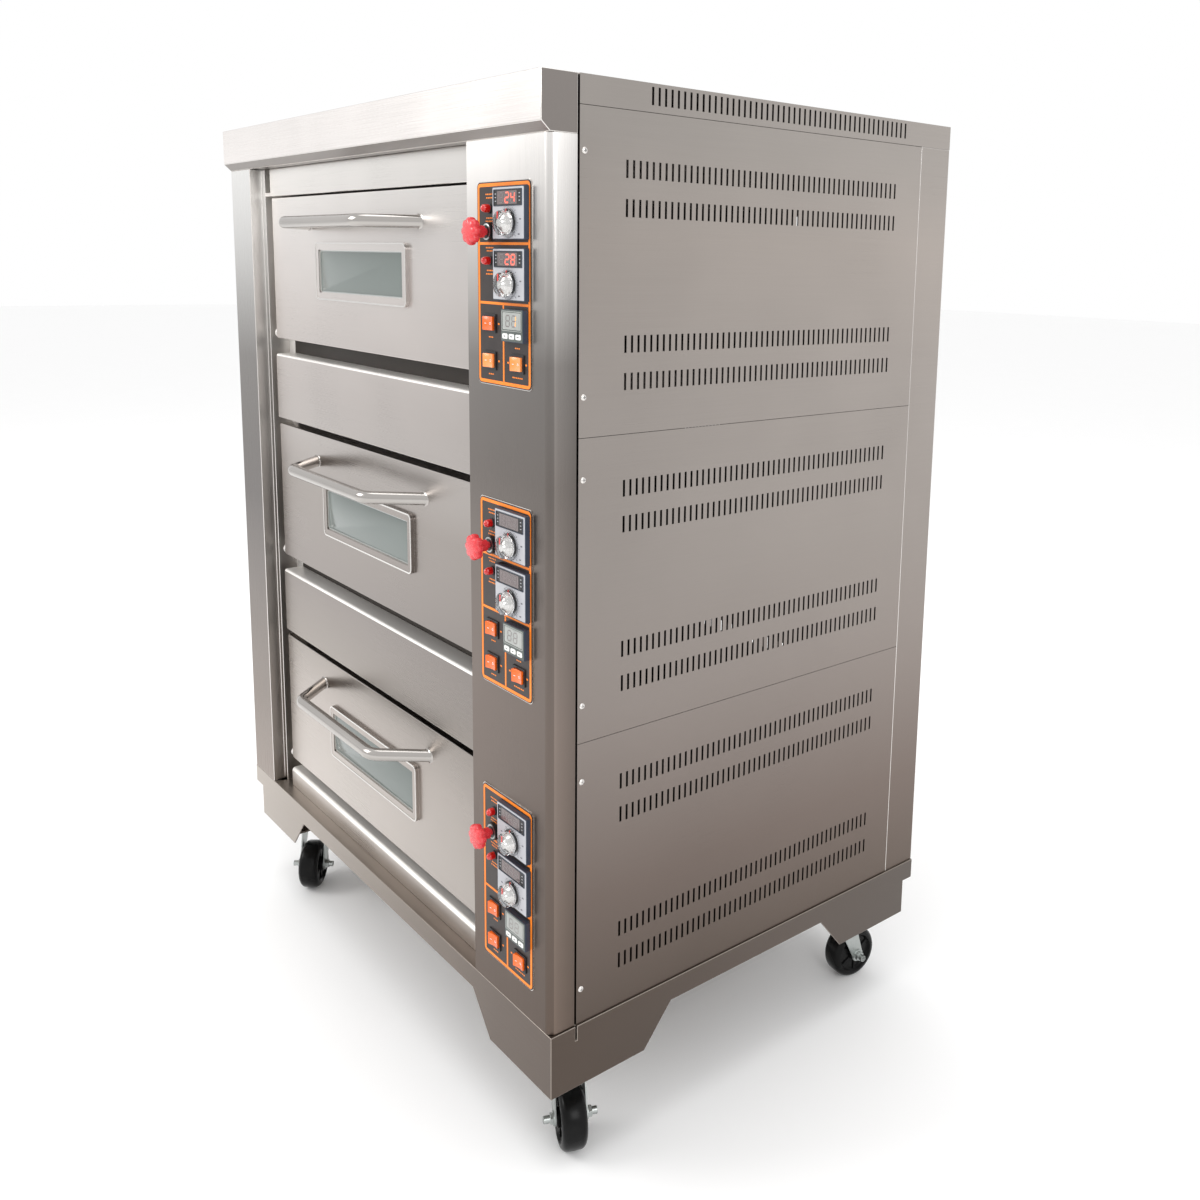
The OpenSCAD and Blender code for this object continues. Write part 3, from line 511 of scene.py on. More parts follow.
def casing():
    def hood_pick(f):
        # front faces take the bright steel, all others the darker copy: painted light and shade
        return 0 if f.normal.y < -0.9 else 1

    def base_pick(f):
        # side and rear faces take the darker copy: painted shade
        return 1 if abs(f.normal.x) > 0.9 or f.calc_center_median().y > 0.4 else 0

    def post_pick(f):
        c = f.calc_center_median()
        # the inner return takes the jamb steel, a painted highlight
        if f.normal.x > 0.9 and JAMB_X[0] < c.x < JAMB_X[1] and c.y < 0:
            return 3
        return 1 if c.y > 0.2 else 0

    def column_pick(f):
        # the side face takes the copy with the painted highlight at its front corner
        return 2 if f.normal.x > 0.9 and f.calc_center_median().x > 0.6 else 0

    def front_pick(f):
        # upper faces take the bright ledge steel, a painted highlight
        return 1 if f.normal.z > 0.3 else 0

    def wall_pick(f):
        c = f.calc_center_median()
        behind_door = (DOOR_X0 + STRIP_IN) * MM < c.x < (DOOR_X1 - STRIP_IN) * MM
        # the wall beside the doors takes the bright ledge steel, a painted highlight; behind the doors it
        # stays dark
        return 1 if c.y < STRIP_Y and not behind_door else 0

    from_cad("base_frame", [M_BASE, M_BASE_SIDE_SHADE, M_BASE_EDGE_HIGHLIGHT], ROOT, 1.9, 3, base_pick, edge=2)
    from_cad("hood", [M_HOOD, M_HOOD_PAINTED_SHADE, M_EDGE], ROOT, 1.6, 3, hood_pick, edge=2)
    from_cad("roof_cover", M_SIDE, ROOT)
    from_cad("control_column", [M_COL, M_EDGE, M_COL2], ROOT, 0.8, 2, column_pick, edge=0)
    from_cad("corner_posts", [M_POST, M_SIDE, M_EDGE, M_JAMB], ROOT, 1.4, 3,
             post_pick, edge=2)
    from_cad("side_panels", M_SIDE, ROOT)
    from_cad("back_panel", M_SIDE, ROOT)
    from_cad("fixed_fronts", [M_DOOR, M_LEDGE, M_EDGE], ROOT, 1.0, 2, front_pick,
             edge=2, shape=round_tops)
    from_cad("baking_chambers", [M_DARK, M_LEDGE], ROOT, 0, 1, wall_pick, shape=split_wall)
    from_cad("heating_elements", M_ROD, ROOT)
    from_cad("caster_plates", M_ZINC, ROOT, 0.8, 2)
    from_cad("cable_gland", M_BLACK, ROOT, 0.6, 2)


# a screw's head from its top outwards, as (radius, height), and its places on the casing
SCREW_HEAD = [(0, 2.7), (2.0, 2.5), (3.6, 1.95), (4.7, 1.1), (5.0, 0.35), (5.0, 0.0)]
SIDE_SCREW_IN, SIDE_SCREW_DROPS = 56, (61, 399)
BACK_SCREW_X, BACK_SCREW_Z = (-530, -180, 180, 530), (BASE_TOP + 30, BASE_TOP + 690, TOTAL_H - 62)


def screw_bm(bm, mtx, turn):
    """A pan head with a crossed recess."""
    lathe_bm(bm, SCREW_HEAD, mtx, 20)
    for a in (turn, turn + math.pi / 2):
        rot = mtx @ Matrix.Rotation(a, 4, "Z")
        r = bmesh.ops.create_cube(bm, size=1.0)
        for v in r["verts"]:
            v.co = rot @ Vector((v.co.x * 4.4 * MM, v.co.y * 0.9 * MM, (2.2 + v.co.z * 0.9) * MM))
        for f in {f for v in r["verts"] for f in v.link_faces}:
            f.material_index = 1


def screws():
    bm = bmesh.new()
    panel_h = (ROOF_Z - BASE_TOP) / 3
    for k in range(3):
        for drop in SIDE_SCREW_DROPS:
            z = BASE_TOP + (k + 1) * panel_h - drop
            screw_bm(bm, facing(SIDE_X, FRONT + SIDE_SCREW_IN, z, "+x"), rng.uniform(0, 3))
            screw_bm(bm, facing(-SIDE_X, FRONT + SIDE_SCREW_IN, z, "-x"), rng.uniform(0, 3))
    for x in BACK_SCREW_X:
        for z in BACK_SCREW_Z:
            screw_bm(bm, facing(x, REAR, z, "+y"), rng.uniform(0, 3))
    finish_mesh("casing_screws", bm, [M_EDGE, M_BLACK], ROOT, 50)


# ---------------------------------------------------------------- doors
# half the handle's length at the door and along its grip, then its reach, bend, radius and drop from the top
HANDLE_HALF, HANDLE_GRIP = 224.5, 158.0
HANDLE_REACH, HANDLE_BEND, HANDLE_R, HANDLE_DROP = 77.0, 38.0, 11.0, 54.0
HANDLE_SLOPE = math.atan2(HANDLE_REACH, HANDLE_HALF - HANDLE_GRIP)
# a weld collar's rings, as (share of the tube's radius, height over the door)
WELD = ((1.00, 1.6), (1.04, 0.9), (1.11, 0.3), (1.16, 0.02))


def handle_half():
    """Half of the handle's centre line from its middle outwards: grip, bend and slanted leg."""
    grip = HANDLE_GRIP - HANDLE_BEND * math.tan(HANDLE_SLOPE / 2)
    half = [(0.0, -HANDLE_REACH)]
    for i in range(9):
        half.append((grip * i / 8, -HANDLE_REACH))
    for i in range(1, 15):
        t = HANDLE_SLOPE * i / 14
        half.append((grip + HANDLE_BEND * math.sin(t), -HANDLE_REACH + HANDLE_BEND * (1 - math.cos(t))))
    x1, y1 = half[-1]
    for i in range(1, 7):
        half.append((x1 + (HANDLE_HALF - x1) * i / 6, y1 + (0 - y1) * i / 6))
    half.append((HANDLE_HALF + 6.0, 6.0 * (HANDLE_REACH / (HANDLE_HALF - HANDLE_GRIP))))
    return half


def handle(k, body):
    """The swept tube, cut off at the door's face, and its weld collars."""
    hz = DOOR_Z[k] + DOOR_H - HANDLE_DROP
    half = handle_half()
    path = [(DOOR_CX - x, DOOR_Y + y, hz) for x, y in reversed(half[2:])]
    path += [(DOOR_CX + x, DOOR_Y + y, hz) for x, y in half[1:]]
    bm = bmesh.new()
    sweep_bm(bm, path, HANDLE_R - 0.05)
    geom = bm.verts[:] + bm.edges[:] + bm.faces[:]
    cut = bmesh.ops.bisect_plane(bm, geom=geom, plane_co=(0, (DOOR_Y - 0.02) * MM, 0), plane_no=(0, 1, 0),
                                 clear_outer=True)
    bmesh.ops.holes_fill(bm, edges=[e for e in cut["geom_cut"] if isinstance(e, bmesh.types.BMEdge)])
    ob = finish_mesh(f"door_{k}_handle_look", bm, M_TUBE, body, 50)
    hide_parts(f"door_{k}_handle")

    bm = bmesh.new()
    n = 40
    stretch = 1 / math.sin(HANDLE_SLOPE)
    for s in (-1, 1):
        rows = []
        for w, d in WELD:
            cx = DOOR_CX + s * (HANDLE_HALF - d / math.tan(HANDLE_SLOPE))
            row = []
            for i in range(n):
                a = 2 * math.pi * i / n
                x = cx + HANDLE_R * w * stretch * math.cos(a)
                row.append(bm.verts.new((x * MM, (DOOR_Y - d) * MM, (hz + HANDLE_R * w * math.sin(a)) * MM)))
            rows.append(row)
        for u, v in zip(rows, rows[1:]):
            for i in range(n):
                j = (i + 1) % n
                bm.faces.new((u[i], u[j], v[j], v[i]))
    finish_mesh(f"door_{k}_handle_welds", bm, M_TUBE, body, 60)


def centred(cx, cz, w, h):
    """The lower left corner and the size of a rectangle about a centre."""
    return cx - w / 2, cz - h / 2, w, h


def window(k, body):
    """Outer and inner panes, the spacer between them, two bright rims and a seal."""
    wz = DOOR_Z[k] + DOOR_H / 2
    low, high = node_box(f"door_{k}_glass")
    pane = centred(DOOR_CX, wz, high[0] - low[0], high[2] - low[2])
    bm = bmesh.new()
    plate_bm(bm, *pane, 2, DOOR_Y + 7, DOOR_Y + 3.1)
    plate_bm(bm, *centred(DOOR_CX, wz, 340.8, 76.8), 5.4, DOOR_Y + 3.1, DOOR_Y - 1.6, 0, 0.6)
    plate_bm(bm, *pane, 2, DOOR_Y + 35, DOOR_Y + 31)
    ob = finish_mesh(f"door_{k}_glass_look", bm, M_GLASS, body)
    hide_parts(f"door_{k}_glass")
    bm = bmesh.new()
    ring_bm(bm, *pane, 2, 6, DOOR_Y + 31, DOOR_Y + 7.0)
    finish_mesh(f"door_{k}_window_spacer", bm, M_TRIM, body)
    bm = bmesh.new()
    ring_bm(bm, *centred(DOOR_CX, wz, 344.4, 80.4), 7, 1.6, DOOR_Y + 3.2, DOOR_Y - 3.4)
    ring_bm(bm, *centred(DOOR_CX, wz, 371.2, 107.2), 10, 2.6, DOOR_Y - 5.5, DOOR_Y - 6.7)
    finish_mesh(f"door_{k}_window_rims", bm, M_TRIM, body)
    bm = bmesh.new()
    ring_bm(bm, *centred(DOOR_CX, wz, 341.4, 77.4), 5.8, 1.8, DOOR_Y + 2.0, DOOR_Y - 2.2)
    finish_mesh(f"door_{k}_window_seal", bm, M_ZINC, body)


def door(k):
    body = f"door_{k}"
    from_cad(f"door_{k}_panel", [M_DOOR, M_EDGE], body, 1.5, 3, edge=1)
    handle(k, body)
    window(k, body)


# ---------------------------------------------------------------- controls
# places on a fascia are given in mm from its left edge and down from its top
THERMOSTATS = (("top", 8.0, "24"), ("floor", 93.0, "28"))
THERMOSTAT_X, THERMOSTAT_OUT = 56.0, 8.0
DIAL = (44.0, 50.5)
BUTTON_X, BUTTON_DROP, LAMP_DROPS = 34, 70, (37, 111)
ROCKERS = (("power", 35, 201), ("heat", 35, 255), ("light", 110, 255))
TIMER_OUT, TIMER_KEY_X, TIMER_KEY_DROP, TIMER_KEY_PITCH = 9.0, 108, 216, 17.5
# the printed dividers, caption bars (middle, drop, width) and small marks
DIVIDERS, DIVIDER_X, DIVIDER_W = (86.5, 171.5), 69, 3.8
CAPTIONS = [(34, 17, 22), (34, 22, 18), (34, 50.5, 18), (34, 55, 22), (34, 92.5, 22), (34, 97, 17),
            (34, 125, 17), (34, 130, 22), (36, 221, 13), (36, 275, 15), (108, 233, 14), (108, 275, 28)]
MARKS = ((13.5, 255), (58, 255), (83, 255), (131, 255), (58, 201))
# the strokes that are lit in each figure
SEG = {"1": "bc", "2": "abged", "4": "fgbc", "8": "abcdefg"}


def digit_bm(bm, ch, x, z, w, h, y, lit=0, off=1):
    """A seven-segment figure; x, z is its lower left corner."""
    t = w * 0.16
    segs = {"a": (0, h, w, 0), "g": (0, h / 2, w, 0), "d": (0, 0, w, 0), "f": (0, h / 2, h / 2, 1),
            "e": (0, 0, h / 2, 1), "b": (w, h / 2, h / 2, 1), "c": (w, 0, h / 2, 1)}
    for name, (sx, sz, ln, up) in segs.items():
        on = name in SEG[ch]
        g = t * 0.35
        pts = [(g, 0), (g + t / 2, t / 2), (ln - g - t / 2, t / 2), (ln - g, 0), (ln - g - t / 2, -t / 2),
               (g + t / 2, -t / 2)]
        if up:
            pts = [(b, a) for a, b in pts]
        lean = 0.08
        yy = y - (0.12 if on else 0.04)
        vs = []
        for px, pz in pts:
            vs.append(bm.verts.new(((x + sx + px + lean * (sz + pz)) * MM, yy * MM, (z + sz + pz) * MM)))
        bm.faces.new(vs).material_index = lit if on else off


def pill_bm(bm, x, z, w, h, y0, y1, mat=0):
    plate_bm(bm, x - w / 2, z - h / 2, w, h, min(w, h) * 0.3, y0, y1, mat)


def on_fascia(k):
    """Two functions that turn a place on deck k's fascia into x and z."""
    top = fascia_top(k)
    return lambda dx: FASCIA_X + dx, lambda dz: top - dz


def fascia_print(k):
    """The orange frame, dividers and caption bars, and the plate's bright edge."""
    X, Z = on_fascia(k)
    y = FASCIA_Y
    bm = bmesh.new()
    ring_bm(bm, X(1.6), Z(FASCIA_H - 1.6), FASCIA_W - 3.2, FASCIA_H - 3.2, 7.0, 4.8, y + 0.1, y - 0.18)
    for zz in DIVIDERS:
        plate_bm(bm, X(6), Z(zz + DIVIDER_W / 2), FASCIA_W - 12, DIVIDER_W, 0.3, y + 0.1, y - 0.18)
    plate_bm(bm, X(DIVIDER_X), Z(FASCIA_H - 6), DIVIDER_W, FASCIA_H - 6 - 173, 0.3, y + 0.1, y - 0.18)
    for cx, cz, w in CAPTIONS:
        n = max(2, int(w / 4.2))
        for i in range(n):
            ww = w / n
            pill_bm(bm, X(cx - w / 2 + ww * (i + 0.5)), Z(cz), ww * 0.72, 1.9, y + 0.1, y - 0.14)
    for cx, cz in MARKS:
        pill_bm(bm, X(cx), Z(cz), 4.2, 2.6, y + 0.1, y - 0.14)
    finish_mesh(f"fascia_{k}_print", bm, M_ORANGE, ROOT)

    bm = bmesh.new()
    ring_bm(bm, X(-1.1), Z(FASCIA_H + 1.1), FASCIA_W + 2.2, FASCIA_H + 2.2, 8.6, 1.0, y + 2.0, y + 0.7)
    finish_mesh(f"fascia_{k}_edge", bm, M_EDGE, ROOT)


def dial_scale(bm, cx, cz, y, top, floor, mat):
    """Ticks round a dial below top, and short bars outside them down to floor."""
    for i in range(31):
        a = math.radians(-135 + 270 * i / 30)
        r0, r1 = (22.2, 25.6) if i % 5 == 0 else (22.6, 24.2)
        w = 0.55 if i % 5 == 0 else 0.3
        s, c = math.sin(a), math.cos(a)
        vs = [bm.verts.new(((cx + r * s + q * w * c) * MM, (y - 0.62) * MM, (cz + r * c - q * w * s) * MM))
              for r, q in ((r0, -1), (r0, 1), (r1, 1), (r1, -1))]
        if cz + r1 * c < top:
            bm.faces.new(vs).material_index = mat
    for i in range(7):
        a = math.radians(-120 + 240 * i / 6)
        px, pz = cx + 30.5 * math.sin(a), cz + 30.5 * math.cos(a)
        if floor < pz < top - 1:
            pill_bm(bm, px, pz, 4.6, 1.9, y - 0.45, y - 0.62, mat)


def thermostat(k, n):
    """A faceplate with a framed display above, and a dial with its scale and knob below."""
    X, Z = on_fascia(k)
    name, z0, figures = THERMOSTATS[n]
    x0, yf = THERMOSTAT_X, FASCIA_Y - THERMOSTAT_OUT
    mats = [M_FACE, M_SLATE, M_BLACK, M_LCD, M_DIGIT, M_OFF, M_TICK]
    face, frame_mat, surround, display, lit, unlit, tick = range(len(mats))
    bm = bmesh.new()
    plate_bm(bm, X(x0 + 1.2), Z(z0 + 71.8), 81.6, 70.6, 1.5, yf + 0.1, yf - 0.5, face, 0.4)
    ring_bm(bm, X(x0 + 4.6), Z(z0 + 27.0), 74.8, 23.2, 1.2, 1.0, yf - 0.4, yf - 1.3, frame_mat)
    plate_bm(bm, X(x0 + 5.4), Z(z0 + 26.2), 73.2, 21.6, 0.8, yf - 0.4, yf - 0.7, surround)
    plate_bm(bm, X(x0 + 14), Z(z0 + 24.6), 52, 18.4, 1.0, yf - 0.7, yf - 0.85, display)
    for i, ch in enumerate("8" + figures):
        shown = lit if i and k == 1 else unlit
        digit_bm(bm, ch, X(x0 + 20 + 15 * i), Z(z0 + 22.4), 9.5, 13.6, yf - 0.9, shown, unlit)
    for zz in (10, 15, 20):
        for xx in (9.6, 72.6):
            pill_bm(bm, X(x0 + xx), Z(z0 + zz), 3.2, 1.2, yf - 0.7, yf - 0.82, face)
    cx, cz = X(x0 + DIAL[0]), Z(z0 + DIAL[1])
    dial_scale(bm, cx, cz, yf, Z(z0 + 28.5), Z(z0 + 70), tick)
    finish_mesh(f"thermostat_{k}_{n}_face", bm, mats, ROOT)
    knob(f"knob_{k}_{name}", cx, yf - 0.5, cz)


def timer(k):
    X, Z = on_fascia(k)
    yf = FASCIA_Y - TIMER_OUT
    mats = [M_TIMER, M_LCD2, M_OFF, M_DIGIT2]
    face, display, unlit, lit = range(len(mats))
    bm = bmesh.new()
    plate_bm(bm, X(80), Z(223), 56, 44.4, 2, yf + 0.1, yf - 0.4, face, 0.3)
    ring_bm(bm, X(82), Z(208.6), 52, 28.2, 1.6, 1.0, yf - 0.4, yf - 1.0, display)
    plate_bm(bm, X(84.5), Z(206.4), 47, 24, 1.4, yf - 0.4, yf - 0.8, display, 0.3)
    plate_bm(bm, X(89), Z(204.6), 38, 20.6, 1, yf - 0.8, yf - 0.95, display)
    digit_bm(bm, "8", X(93), Z(202), 9.6, 15.4, yf - 1.0, unlit, unlit)
    digit_bm(bm, "1", X(109), Z(202), 9.6, 15.4, yf - 1.0, lit if k == 1 else unlit, unlit)
    finish_mesh(f"timer_{k}_face", bm, mats, ROOT)
    for i, ch in enumerate("abc"):
        cx, cz = X(TIMER_KEY_X + (i - 1) * TIMER_KEY_PITCH), Z(TIMER_KEY_DROP)
        bm = bmesh.new()
        plate_bm(bm, *centred(cx, cz, 13.8, 7.8), 2.2, yf + 2, yf - 1.4, 0, 0.9)
        pill_bm(bm, cx, cz, 5.0, 1.3, yf - 1.4, yf - 1.5, 1)
        node = f"timer_key_{k}_{ch}"
        ob = finish_mesh(node + "_look", bm, [M_WHITE, M_TIMER], node)
        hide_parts(node)


def pilot_lamps(k):
    """Domed lenses in black bezels. Deck 1's stand for the CAD lamps of every deck."""
    X, Z = on_fascia(k)
    bezel = [(7.4, -0.2), (7.4, 1.0), (6.9, 1.7), (6.2, 1.9), (6.0, 1.2)]
    lens = [(5.9, 0.5), (5.95, 7.2), (5.75, 8.7), (5.2, 10.4), (4.3, 11.9), (3.1, 13.0), (1.6, 13.7),
            (0, 13.9)]
    barrel = [(4.9, -20), (4.9, -1)]
    bm = bmesh.new()
    for drop in LAMP_DROPS:
        mt = facing(X(BUTTON_X), FASCIA_Y, Z(drop))
        lathe_bm(bm, bezel, mt, 40, 1)
        lathe_bm(bm, lens, mt, 40, 0)
        lathe_bm(bm, barrel, mt, 24, 1)
    ob = finish_mesh(f"pilot_lamps_{k}", bm, [M_RED, M_BLACK], ROOT)
    if k == 1:
        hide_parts("indicator_lamps")


def fascia(k):
    X, Z = on_fascia(k)
    fascia_print(k)
    for n in range(len(THERMOSTATS)):
        thermostat(k, n)
    timer(k)
    for name, dx, dz in ROCKERS:
        lit = name != "power" and k == 1
        rocker(f"rocker_{k}_{name}", X(dx), FASCIA_Y, Z(dz), M_ROCKLIT if lit else M_ROCKER)
    mushroom(f"mushroom_{k}", X(BUTTON_X), FASCIA_Y, Z(BUTTON_DROP))
    pilot_lamps(k)


def knob(node, cx, y, cz):
    """A clear fluted knob on a skirt, over a bright cone, with a red pointer."""
    mt = facing(cx, y, cz)
    skirt = [(4, 0.3), (20.4, 0.3), (20.9, 0.8), (20.9, 2.2), (20.2, 3.3), (18.6, 3.9), (17.2, 4.4)]
    body = [(17.0, 4.5), (16.9, 13.4), (16.4, 15.4), (15.0, 16.9), (12.8, 17.7), (0, 17.9)]
    cone = [(0, 1.0), (12.4, 1.0), (12.4, 3.0), (9.0, 9.0), (5.6, 14.6), (0, 15.2)]
    shaft = [(2.9, -5.6), (2.9, 1.2)]
    bm = bmesh.new()
    lathe_bm(bm, skirt, mt, 96)
    lathe_bm(bm, body, mt, 96, 0, 24, 0.55, (4.4, 14))
    ob = finish_mesh(node + "_look", bm, M_CLEAR, node, 40)
    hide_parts(node)
    bm = bmesh.new()
    lathe_bm(bm, cone, mt, 48)
    lathe_bm(bm, shaft, mt, 24)
    for r in (13.6, 18.6):
        lathe_bm(bm, [(r, 0.45), (r, 0.95), (r + 1.3, 0.95), (r + 1.3, 0.45)], mt, 64, 1)
    finish_mesh(node + "_core", bm, [M_TRIM, M_FACE], node, 30)
    bm = bmesh.new()
    plate_bm(bm, cx - 1.3, cz + 5.0, 2.6, 10.0, 0.8, y - 17.6, y - 18.3)
    plate_bm(bm, cx - 1.0, cz + 12.0, 2.0, 7.6, 0.5, y - 3.4, y - 4.6)
    finish_mesh(node + "_pointer", bm, M_POINT, node, 30)


# a rocker's half length, the height of its hollow face, how much that rises at its ends, and its rest tilt
ROCKER_HALF, ROCKER_FACE, ROCKER_RISE, ROCKER_TILT = 11.5, 7.1, 1.4, math.radians(7)


def rocker(node, cx, y, cz, mat):
    """A curved lever with two marks and its pivot pin, tilted to its rest position."""
    piv = Vector((cx, y + 2, cz))

    def place(qx, qy, dz):
        """A point of the upright lever, turned about the pivot."""
        rx = qx * math.cos(ROCKER_TILT) - qy * math.sin(ROCKER_TILT)
        ry = qx * math.sin(ROCKER_TILT) + qy * math.cos(ROCKER_TILT)
        return (piv.x + rx) * MM, (piv.y + ry) * MM, (cz + dz) * MM

    def face_y(qx):
        return -ROCKER_FACE - ROCKER_RISE * (qx / ROCKER_HALF) ** 2

    bm = bmesh.new()
    steps = 18
    pts = []
    for i in range(steps + 1):
        qx = ROCKER_HALF * (-1 + 2 * i / steps)
        pts.append((qx, face_y(qx)))
    pts += [(ROCKER_HALF, -1.0), (5, 4.0), (-5, 4.0), (-ROCKER_HALF, -1.0)]
    rows = []
    for dz, ins in ((-9.95, 0.6), (-9.3, 0.0), (9.3, 0.0), (9.95, 0.6)):
        row = []
        for px, py in pts:
            qy = py + (ins * 0.8 if py < -6 else 0)
            row.append(bm.verts.new(place(px * (1 - ins / ROCKER_HALF), qy, dz)))
        rows.append(row)
    m = len(pts)
    for a, b in zip(rows, rows[1:]):
        for i in range(m):
            j = (i + 1) % m
            bm.faces.new((a[i], a[j], b[j], b[i]))
    bm.faces.new(rows[0])
    bm.faces.new(rows[-1])

    def mark(px, dz, w, h):
        corners = ((-w / 2, -h / 2), (w / 2, -h / 2), (w / 2, h / 2), (-w / 2, h / 2))
        vs = [bm.verts.new(place(px + ox, face_y(px + ox) - 0.12, dz + oz)) for ox, oz in corners]
        bm.faces.new(vs).material_index = 1

    mark(-5.5, 0, 3.6, 0.9)
    for i in range(12):
        a = 2 * math.pi * i / 12
        mark(5.5 + 1.5 * math.cos(a), 1.5 * math.sin(a), 0.75, 0.75)
    lathe_bm(bm, [(1.15, -10.9), (1.15, 10.9)], Matrix.Translation(piv * MM), 16, 0)
    ob = finish_mesh(node + "_look", bm, [mat, M_WHITE], node, 40)
    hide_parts(node)


def mushroom(node, cx, y, cz):
    """An eight-lobed push button on its stem."""
    mt = facing(cx, y, cz)
    bm = bmesh.new()
    head = [(8.9, 11.2), (8.9, 20), (9.4, 22.6), (11.5, 23.8), (15.5, 24.1), (18.6, 24.9), (19.7, 27.2),
            (20.0, 30.4), (19.6, 33.2), (18.4, 35.4), (15.6, 36.8), (11.5, 37.4), (0, 37.7)]
    lathe_bm(bm, head, mt, 144, 0, 8, 3.0, (24.0, 36.9))
    lathe_bm(bm, [(4.9, -24), (4.9, 12)], mt, 24, 0)
    ob = finish_mesh(node + "_look", bm, M_MUSH, node, 50)
    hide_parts(node)


def housings():
    """Plates, module casings and switch bodies from the CAD, and a knurled collar round each button."""
    from_cad("fascia_plates", M_PLATE, ROOT, 0.6, 2)
    from_cad("instrument_modules", M_SLATE, ROOT, 0.7, 2)
    from_cad("switch_housings", M_BLACK, ROOT, 0.45, 2)
    collar = [(13.9, 0.1), (14.0, 1.0), (13.7, 3.4), (12.9, 5.2), (11.4, 6.2), (9.4, 6.3), (9.2, 4.6)]
    bm = bmesh.new()
    for k in DECKS:
        mt = facing(FASCIA_X + BUTTON_X, FASCIA_Y, fascia_top(k) - BUTTON_DROP)
        lathe_bm(bm, collar, mt, 64, 0, 24, 0.4, (0.9, 3.5))
    finish_mesh("button_collars", bm, M_ZINC, ROOT, 40)


# ---------------------------------------------------------------- casters
# each caster's x, its turn in degrees and the side its axle trails to
CASTERS = {"fr": (522.0, 67.0, -1), "fl": (-486.0, 50.0, -1), "rr": (522.0, -7.0, 1), "rl": (-486.0, 20.0, 1)}
CASTER_IN, REAR_PAD_IN = 88.0, 25.0
AXLE_OFFSET, AXLE_Z = 33, 51
RACE = ((127.2, 128.6, 29.4, 31.4), (128.6, 130.9, 31.4, 31.8))
# half of the wheel's section, from the bore out to the tread, as (radius, distance from the middle)
HUB = [(6.1, 23.6), (13.5, 23.6), (14.8, 22.6), (15.0, 15.2), (17.5, 14.8), (34.0, 14.8), (35.6, 16.0),
       (36.6, 19.0), (38.4, 21.0)]
TREAD_R, TREAD_HALF, TREAD_ROUND = 39, 9, 12


def wheel_profile():
    """Hub, web, rim and a crowned tread with round shoulders."""
    prof = [(r, -h) for r, h in HUB]
    for i in range(13):
        a = math.radians(-90 + 15 * i)
        shift = -TREAD_HALF if i < 6 else TREAD_HALF if i > 6 else 0
        prof.append((TREAD_R + TREAD_ROUND * math.cos(a), shift + TREAD_ROUND * math.sin(a)))
    return prof + HUB[::-1]


def caster(c):
    x, yaw, side = CASTERS[c]
    yy = FRONT + CASTER_IN if c[0] == "f" else REAR - REAR_PAD_IN - CASTER_IN
    fork, wheel = f"caster_fork_{c}", f"caster_wheel_{c}"
    place = Matrix.Translation(Vector((x, yy, 0)) * MM)
    base = place @ Matrix.Rotation(math.radians(yaw), 4, "Z") @ Matrix.Diagonal((1, side, 1, 1))
    middle = base @ Matrix.Translation(Vector((0, AXLE_OFFSET, AXLE_Z)) * MM)
    from_cad(fork, M_ZINC, fork, 1.0, 3)

    # race ring, dust cap and the axle's end details
    bm = bmesh.new()
    for h0, h1, r0, r1 in RACE:
        lathe_bm(bm, [(20, h0), (r0, h0), (r1, h1), (20, h1)], base, 56)
    for s in (-1, 1):
        end = middle @ Matrix.Rotation(s * math.pi / 2, 4, "Y")
        lathe_bm(bm, [(9.2, 26.9), (11.6, 27.1), (11.6, 28.4), (9.2, 28.7)], end, 40)
        lathe_bm(bm, [(5.6, 36), (6.0, 42.8), (5.2, 44.0), (0, 44.0)], end, 32)
    finish_mesh(f"caster_race_{c}", bm, M_ZINC, fork, 40)

    # wheel with moulded ribs on both sides of its web
    bm = bmesh.new()
    axle = middle @ Matrix.Rotation(math.pi / 2, 4, "Y")
    lathe_bm(bm, wheel_profile(), axle, 96)
    for s in (-1, 1):
        for i in range(6):
            rot = axle @ Matrix.Rotation(math.pi * i / 3, 4, "Z")
            r = bmesh.ops.create_cube(bm, size=1.0)
            for v in r["verts"]:
                rib = Vector((25.4 + v.co.x * 22, v.co.y * 2.6, s * (16.0 + v.co.z * 2.6)))
                v.co = rot @ (rib * MM)
    ob = finish_mesh(wheel + "_look", bm, M_RUBBER, wheel, 35)
    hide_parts(wheel)


# ---------------------------------------------------------------- stage, light and camera
FLOOR_HALF = 30.0


def stage():
    bm = bmesh.new()
    corners = ((-1, -1), (1, -1), (1, 1), (-1, 1))
    vs = [bm.verts.new((x * FLOOR_HALF, y * FLOOR_HALF, 0)) for x, y in corners]
    bm.faces.new(vs)
    me = bpy.data.meshes.new("floor")
    bm.to_mesh(me)
    bm.free()
    ob = bpy.data.objects.new("floor", me)
    m, nt, bs = material("pale floor")
    n = tex_noise(nt, 3, (1, 1, 1), 3, 0.5)
    nt.links.new(mix_color(nt, n, (0.955, 0.955, 0.955), (0.97, 0.97, 0.97)), bs.inputs["Base Color"])
    bs.inputs["Roughness"].default_value = 0.9
    bs.inputs["Specular IOR Level"].default_value = 0.1
    me.materials.append(m)
    bpy.context.scene.collection.objects.link(ob)


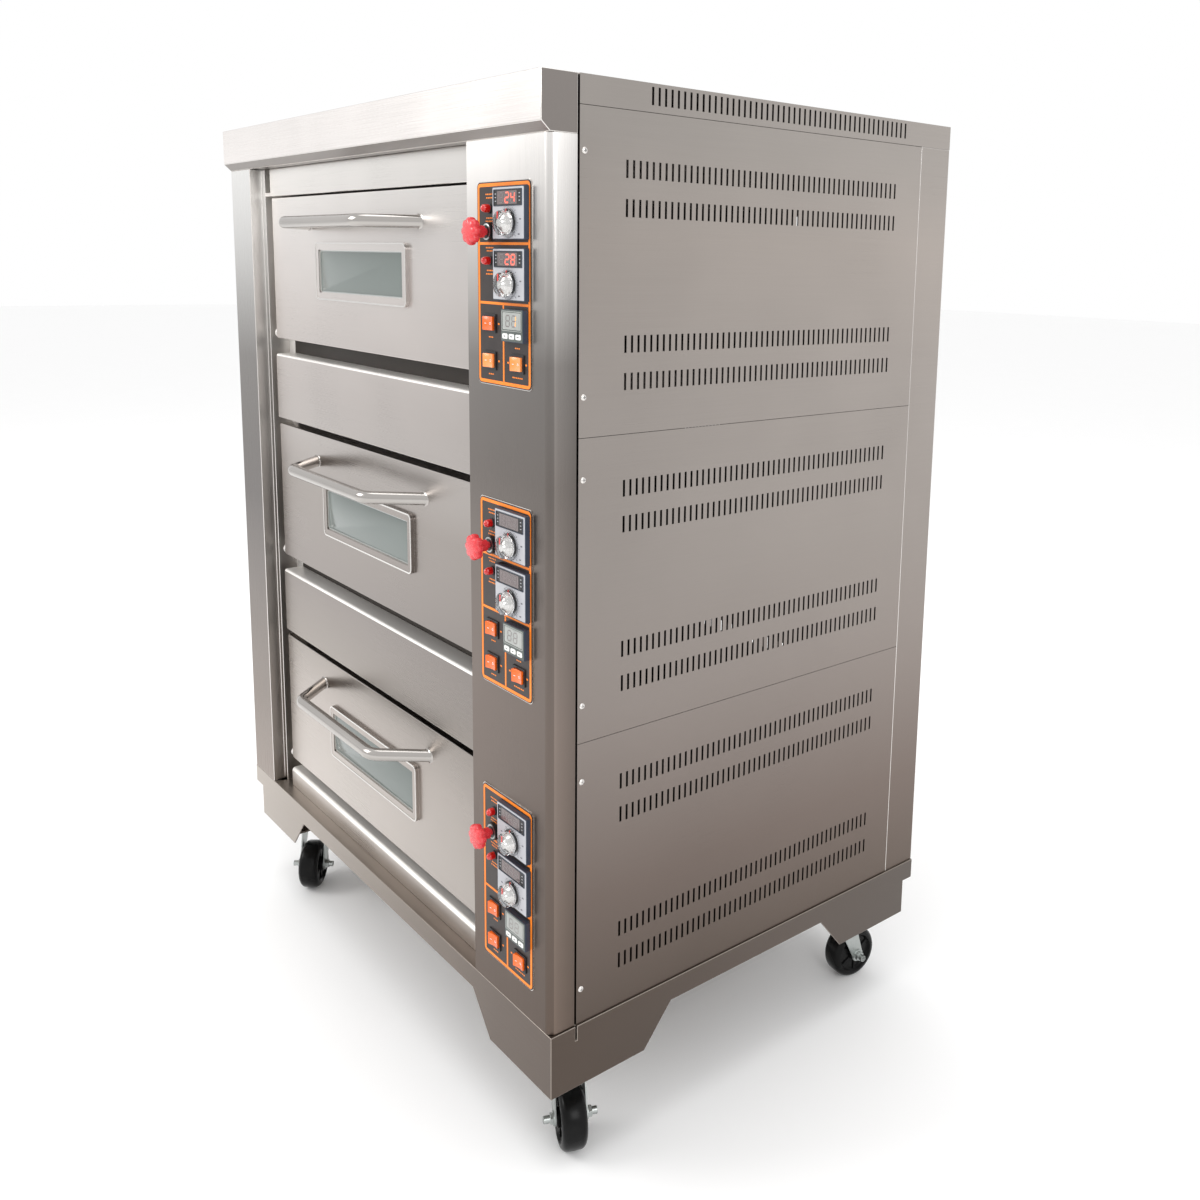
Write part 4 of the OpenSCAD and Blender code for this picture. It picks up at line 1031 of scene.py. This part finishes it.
def area(name, loc, target, size, power, color=(1, 1, 1), size_y=None):
    d = bpy.data.lights.new(name, "AREA")
    d.energy = power
    d.color = color
    d.size = size
    if size_y:
        d.shape = "RECTANGLE"
        d.size_y = size_y
    o = bpy.data.objects.new(name, d)
    o.location = loc
    o.rotation_mode = "QUATERNION"
    o.rotation_quaternion = (Vector(target) - Vector(loc)).to_track_quat("-Z", "Y")
    bpy.context.scene.collection.objects.link(o)


def lights():
    w = bpy.data.worlds.new("studio")
    bpy.context.scene.world = w
    w.use_nodes = True
    bg = w.node_tree.nodes["Background"]
    bg.inputs[0].default_value = (1, 1, 1, 1)
    bg.inputs[1].default_value = 1.0
    area("key", (-2.6, -4.2, 3.6), (0, 0, 0.9), 2.2, 95, (1, 0.99, 0.98), 2.2)
    area("right", (4.4, -1.2, 3.0), (0.5, 0, 0.8), 2.0, 50, (1, 1, 1), 2.0)
    area("top", (0, 0, 4.6), (0, 0, 0), 3.2, 60)


# the camera's place in m, and its turn round Z, tilt down and roll in radians
EYE = (1.93006, -1.28005, 1.41765)
TURN, TILT, ROLL = 0.85739, 0.16267, 0.02146


def camera():
    ahead = Vector((-math.sin(TURN) * math.cos(TILT), math.cos(TURN) * math.cos(TILT), -math.sin(TILT)))
    level = Vector((math.cos(TURN), math.sin(TURN), 0))
    above = level.cross(ahead)
    right = level * math.cos(ROLL) + above * math.sin(ROLL)
    up = -level * math.sin(ROLL) + above * math.cos(ROLL)
    cam = bpy.data.cameras.new("camera")
    cam.lens = 34.5017
    cam.sensor_width = 36.0
    cam.shift_x = -0.08275
    cam.shift_y = -0.125
    cam.clip_end = 120
    ob = bpy.data.objects.new("camera", cam)
    bpy.context.scene.collection.objects.link(ob)
    m = Matrix((right, up, -ahead)).transposed().to_4x4()
    ob.matrix_world = Matrix.Translation(EYE) @ m
    bpy.context.scene.camera = ob


camera()
stage()
lights()
casing()
screws()
for deck in DECKS:
    door(deck)
    fascia(deck)
housings()
for corner in CASTERS:
    caster(corner)

bpy.context.scene.view_settings.view_transform = "Standard"
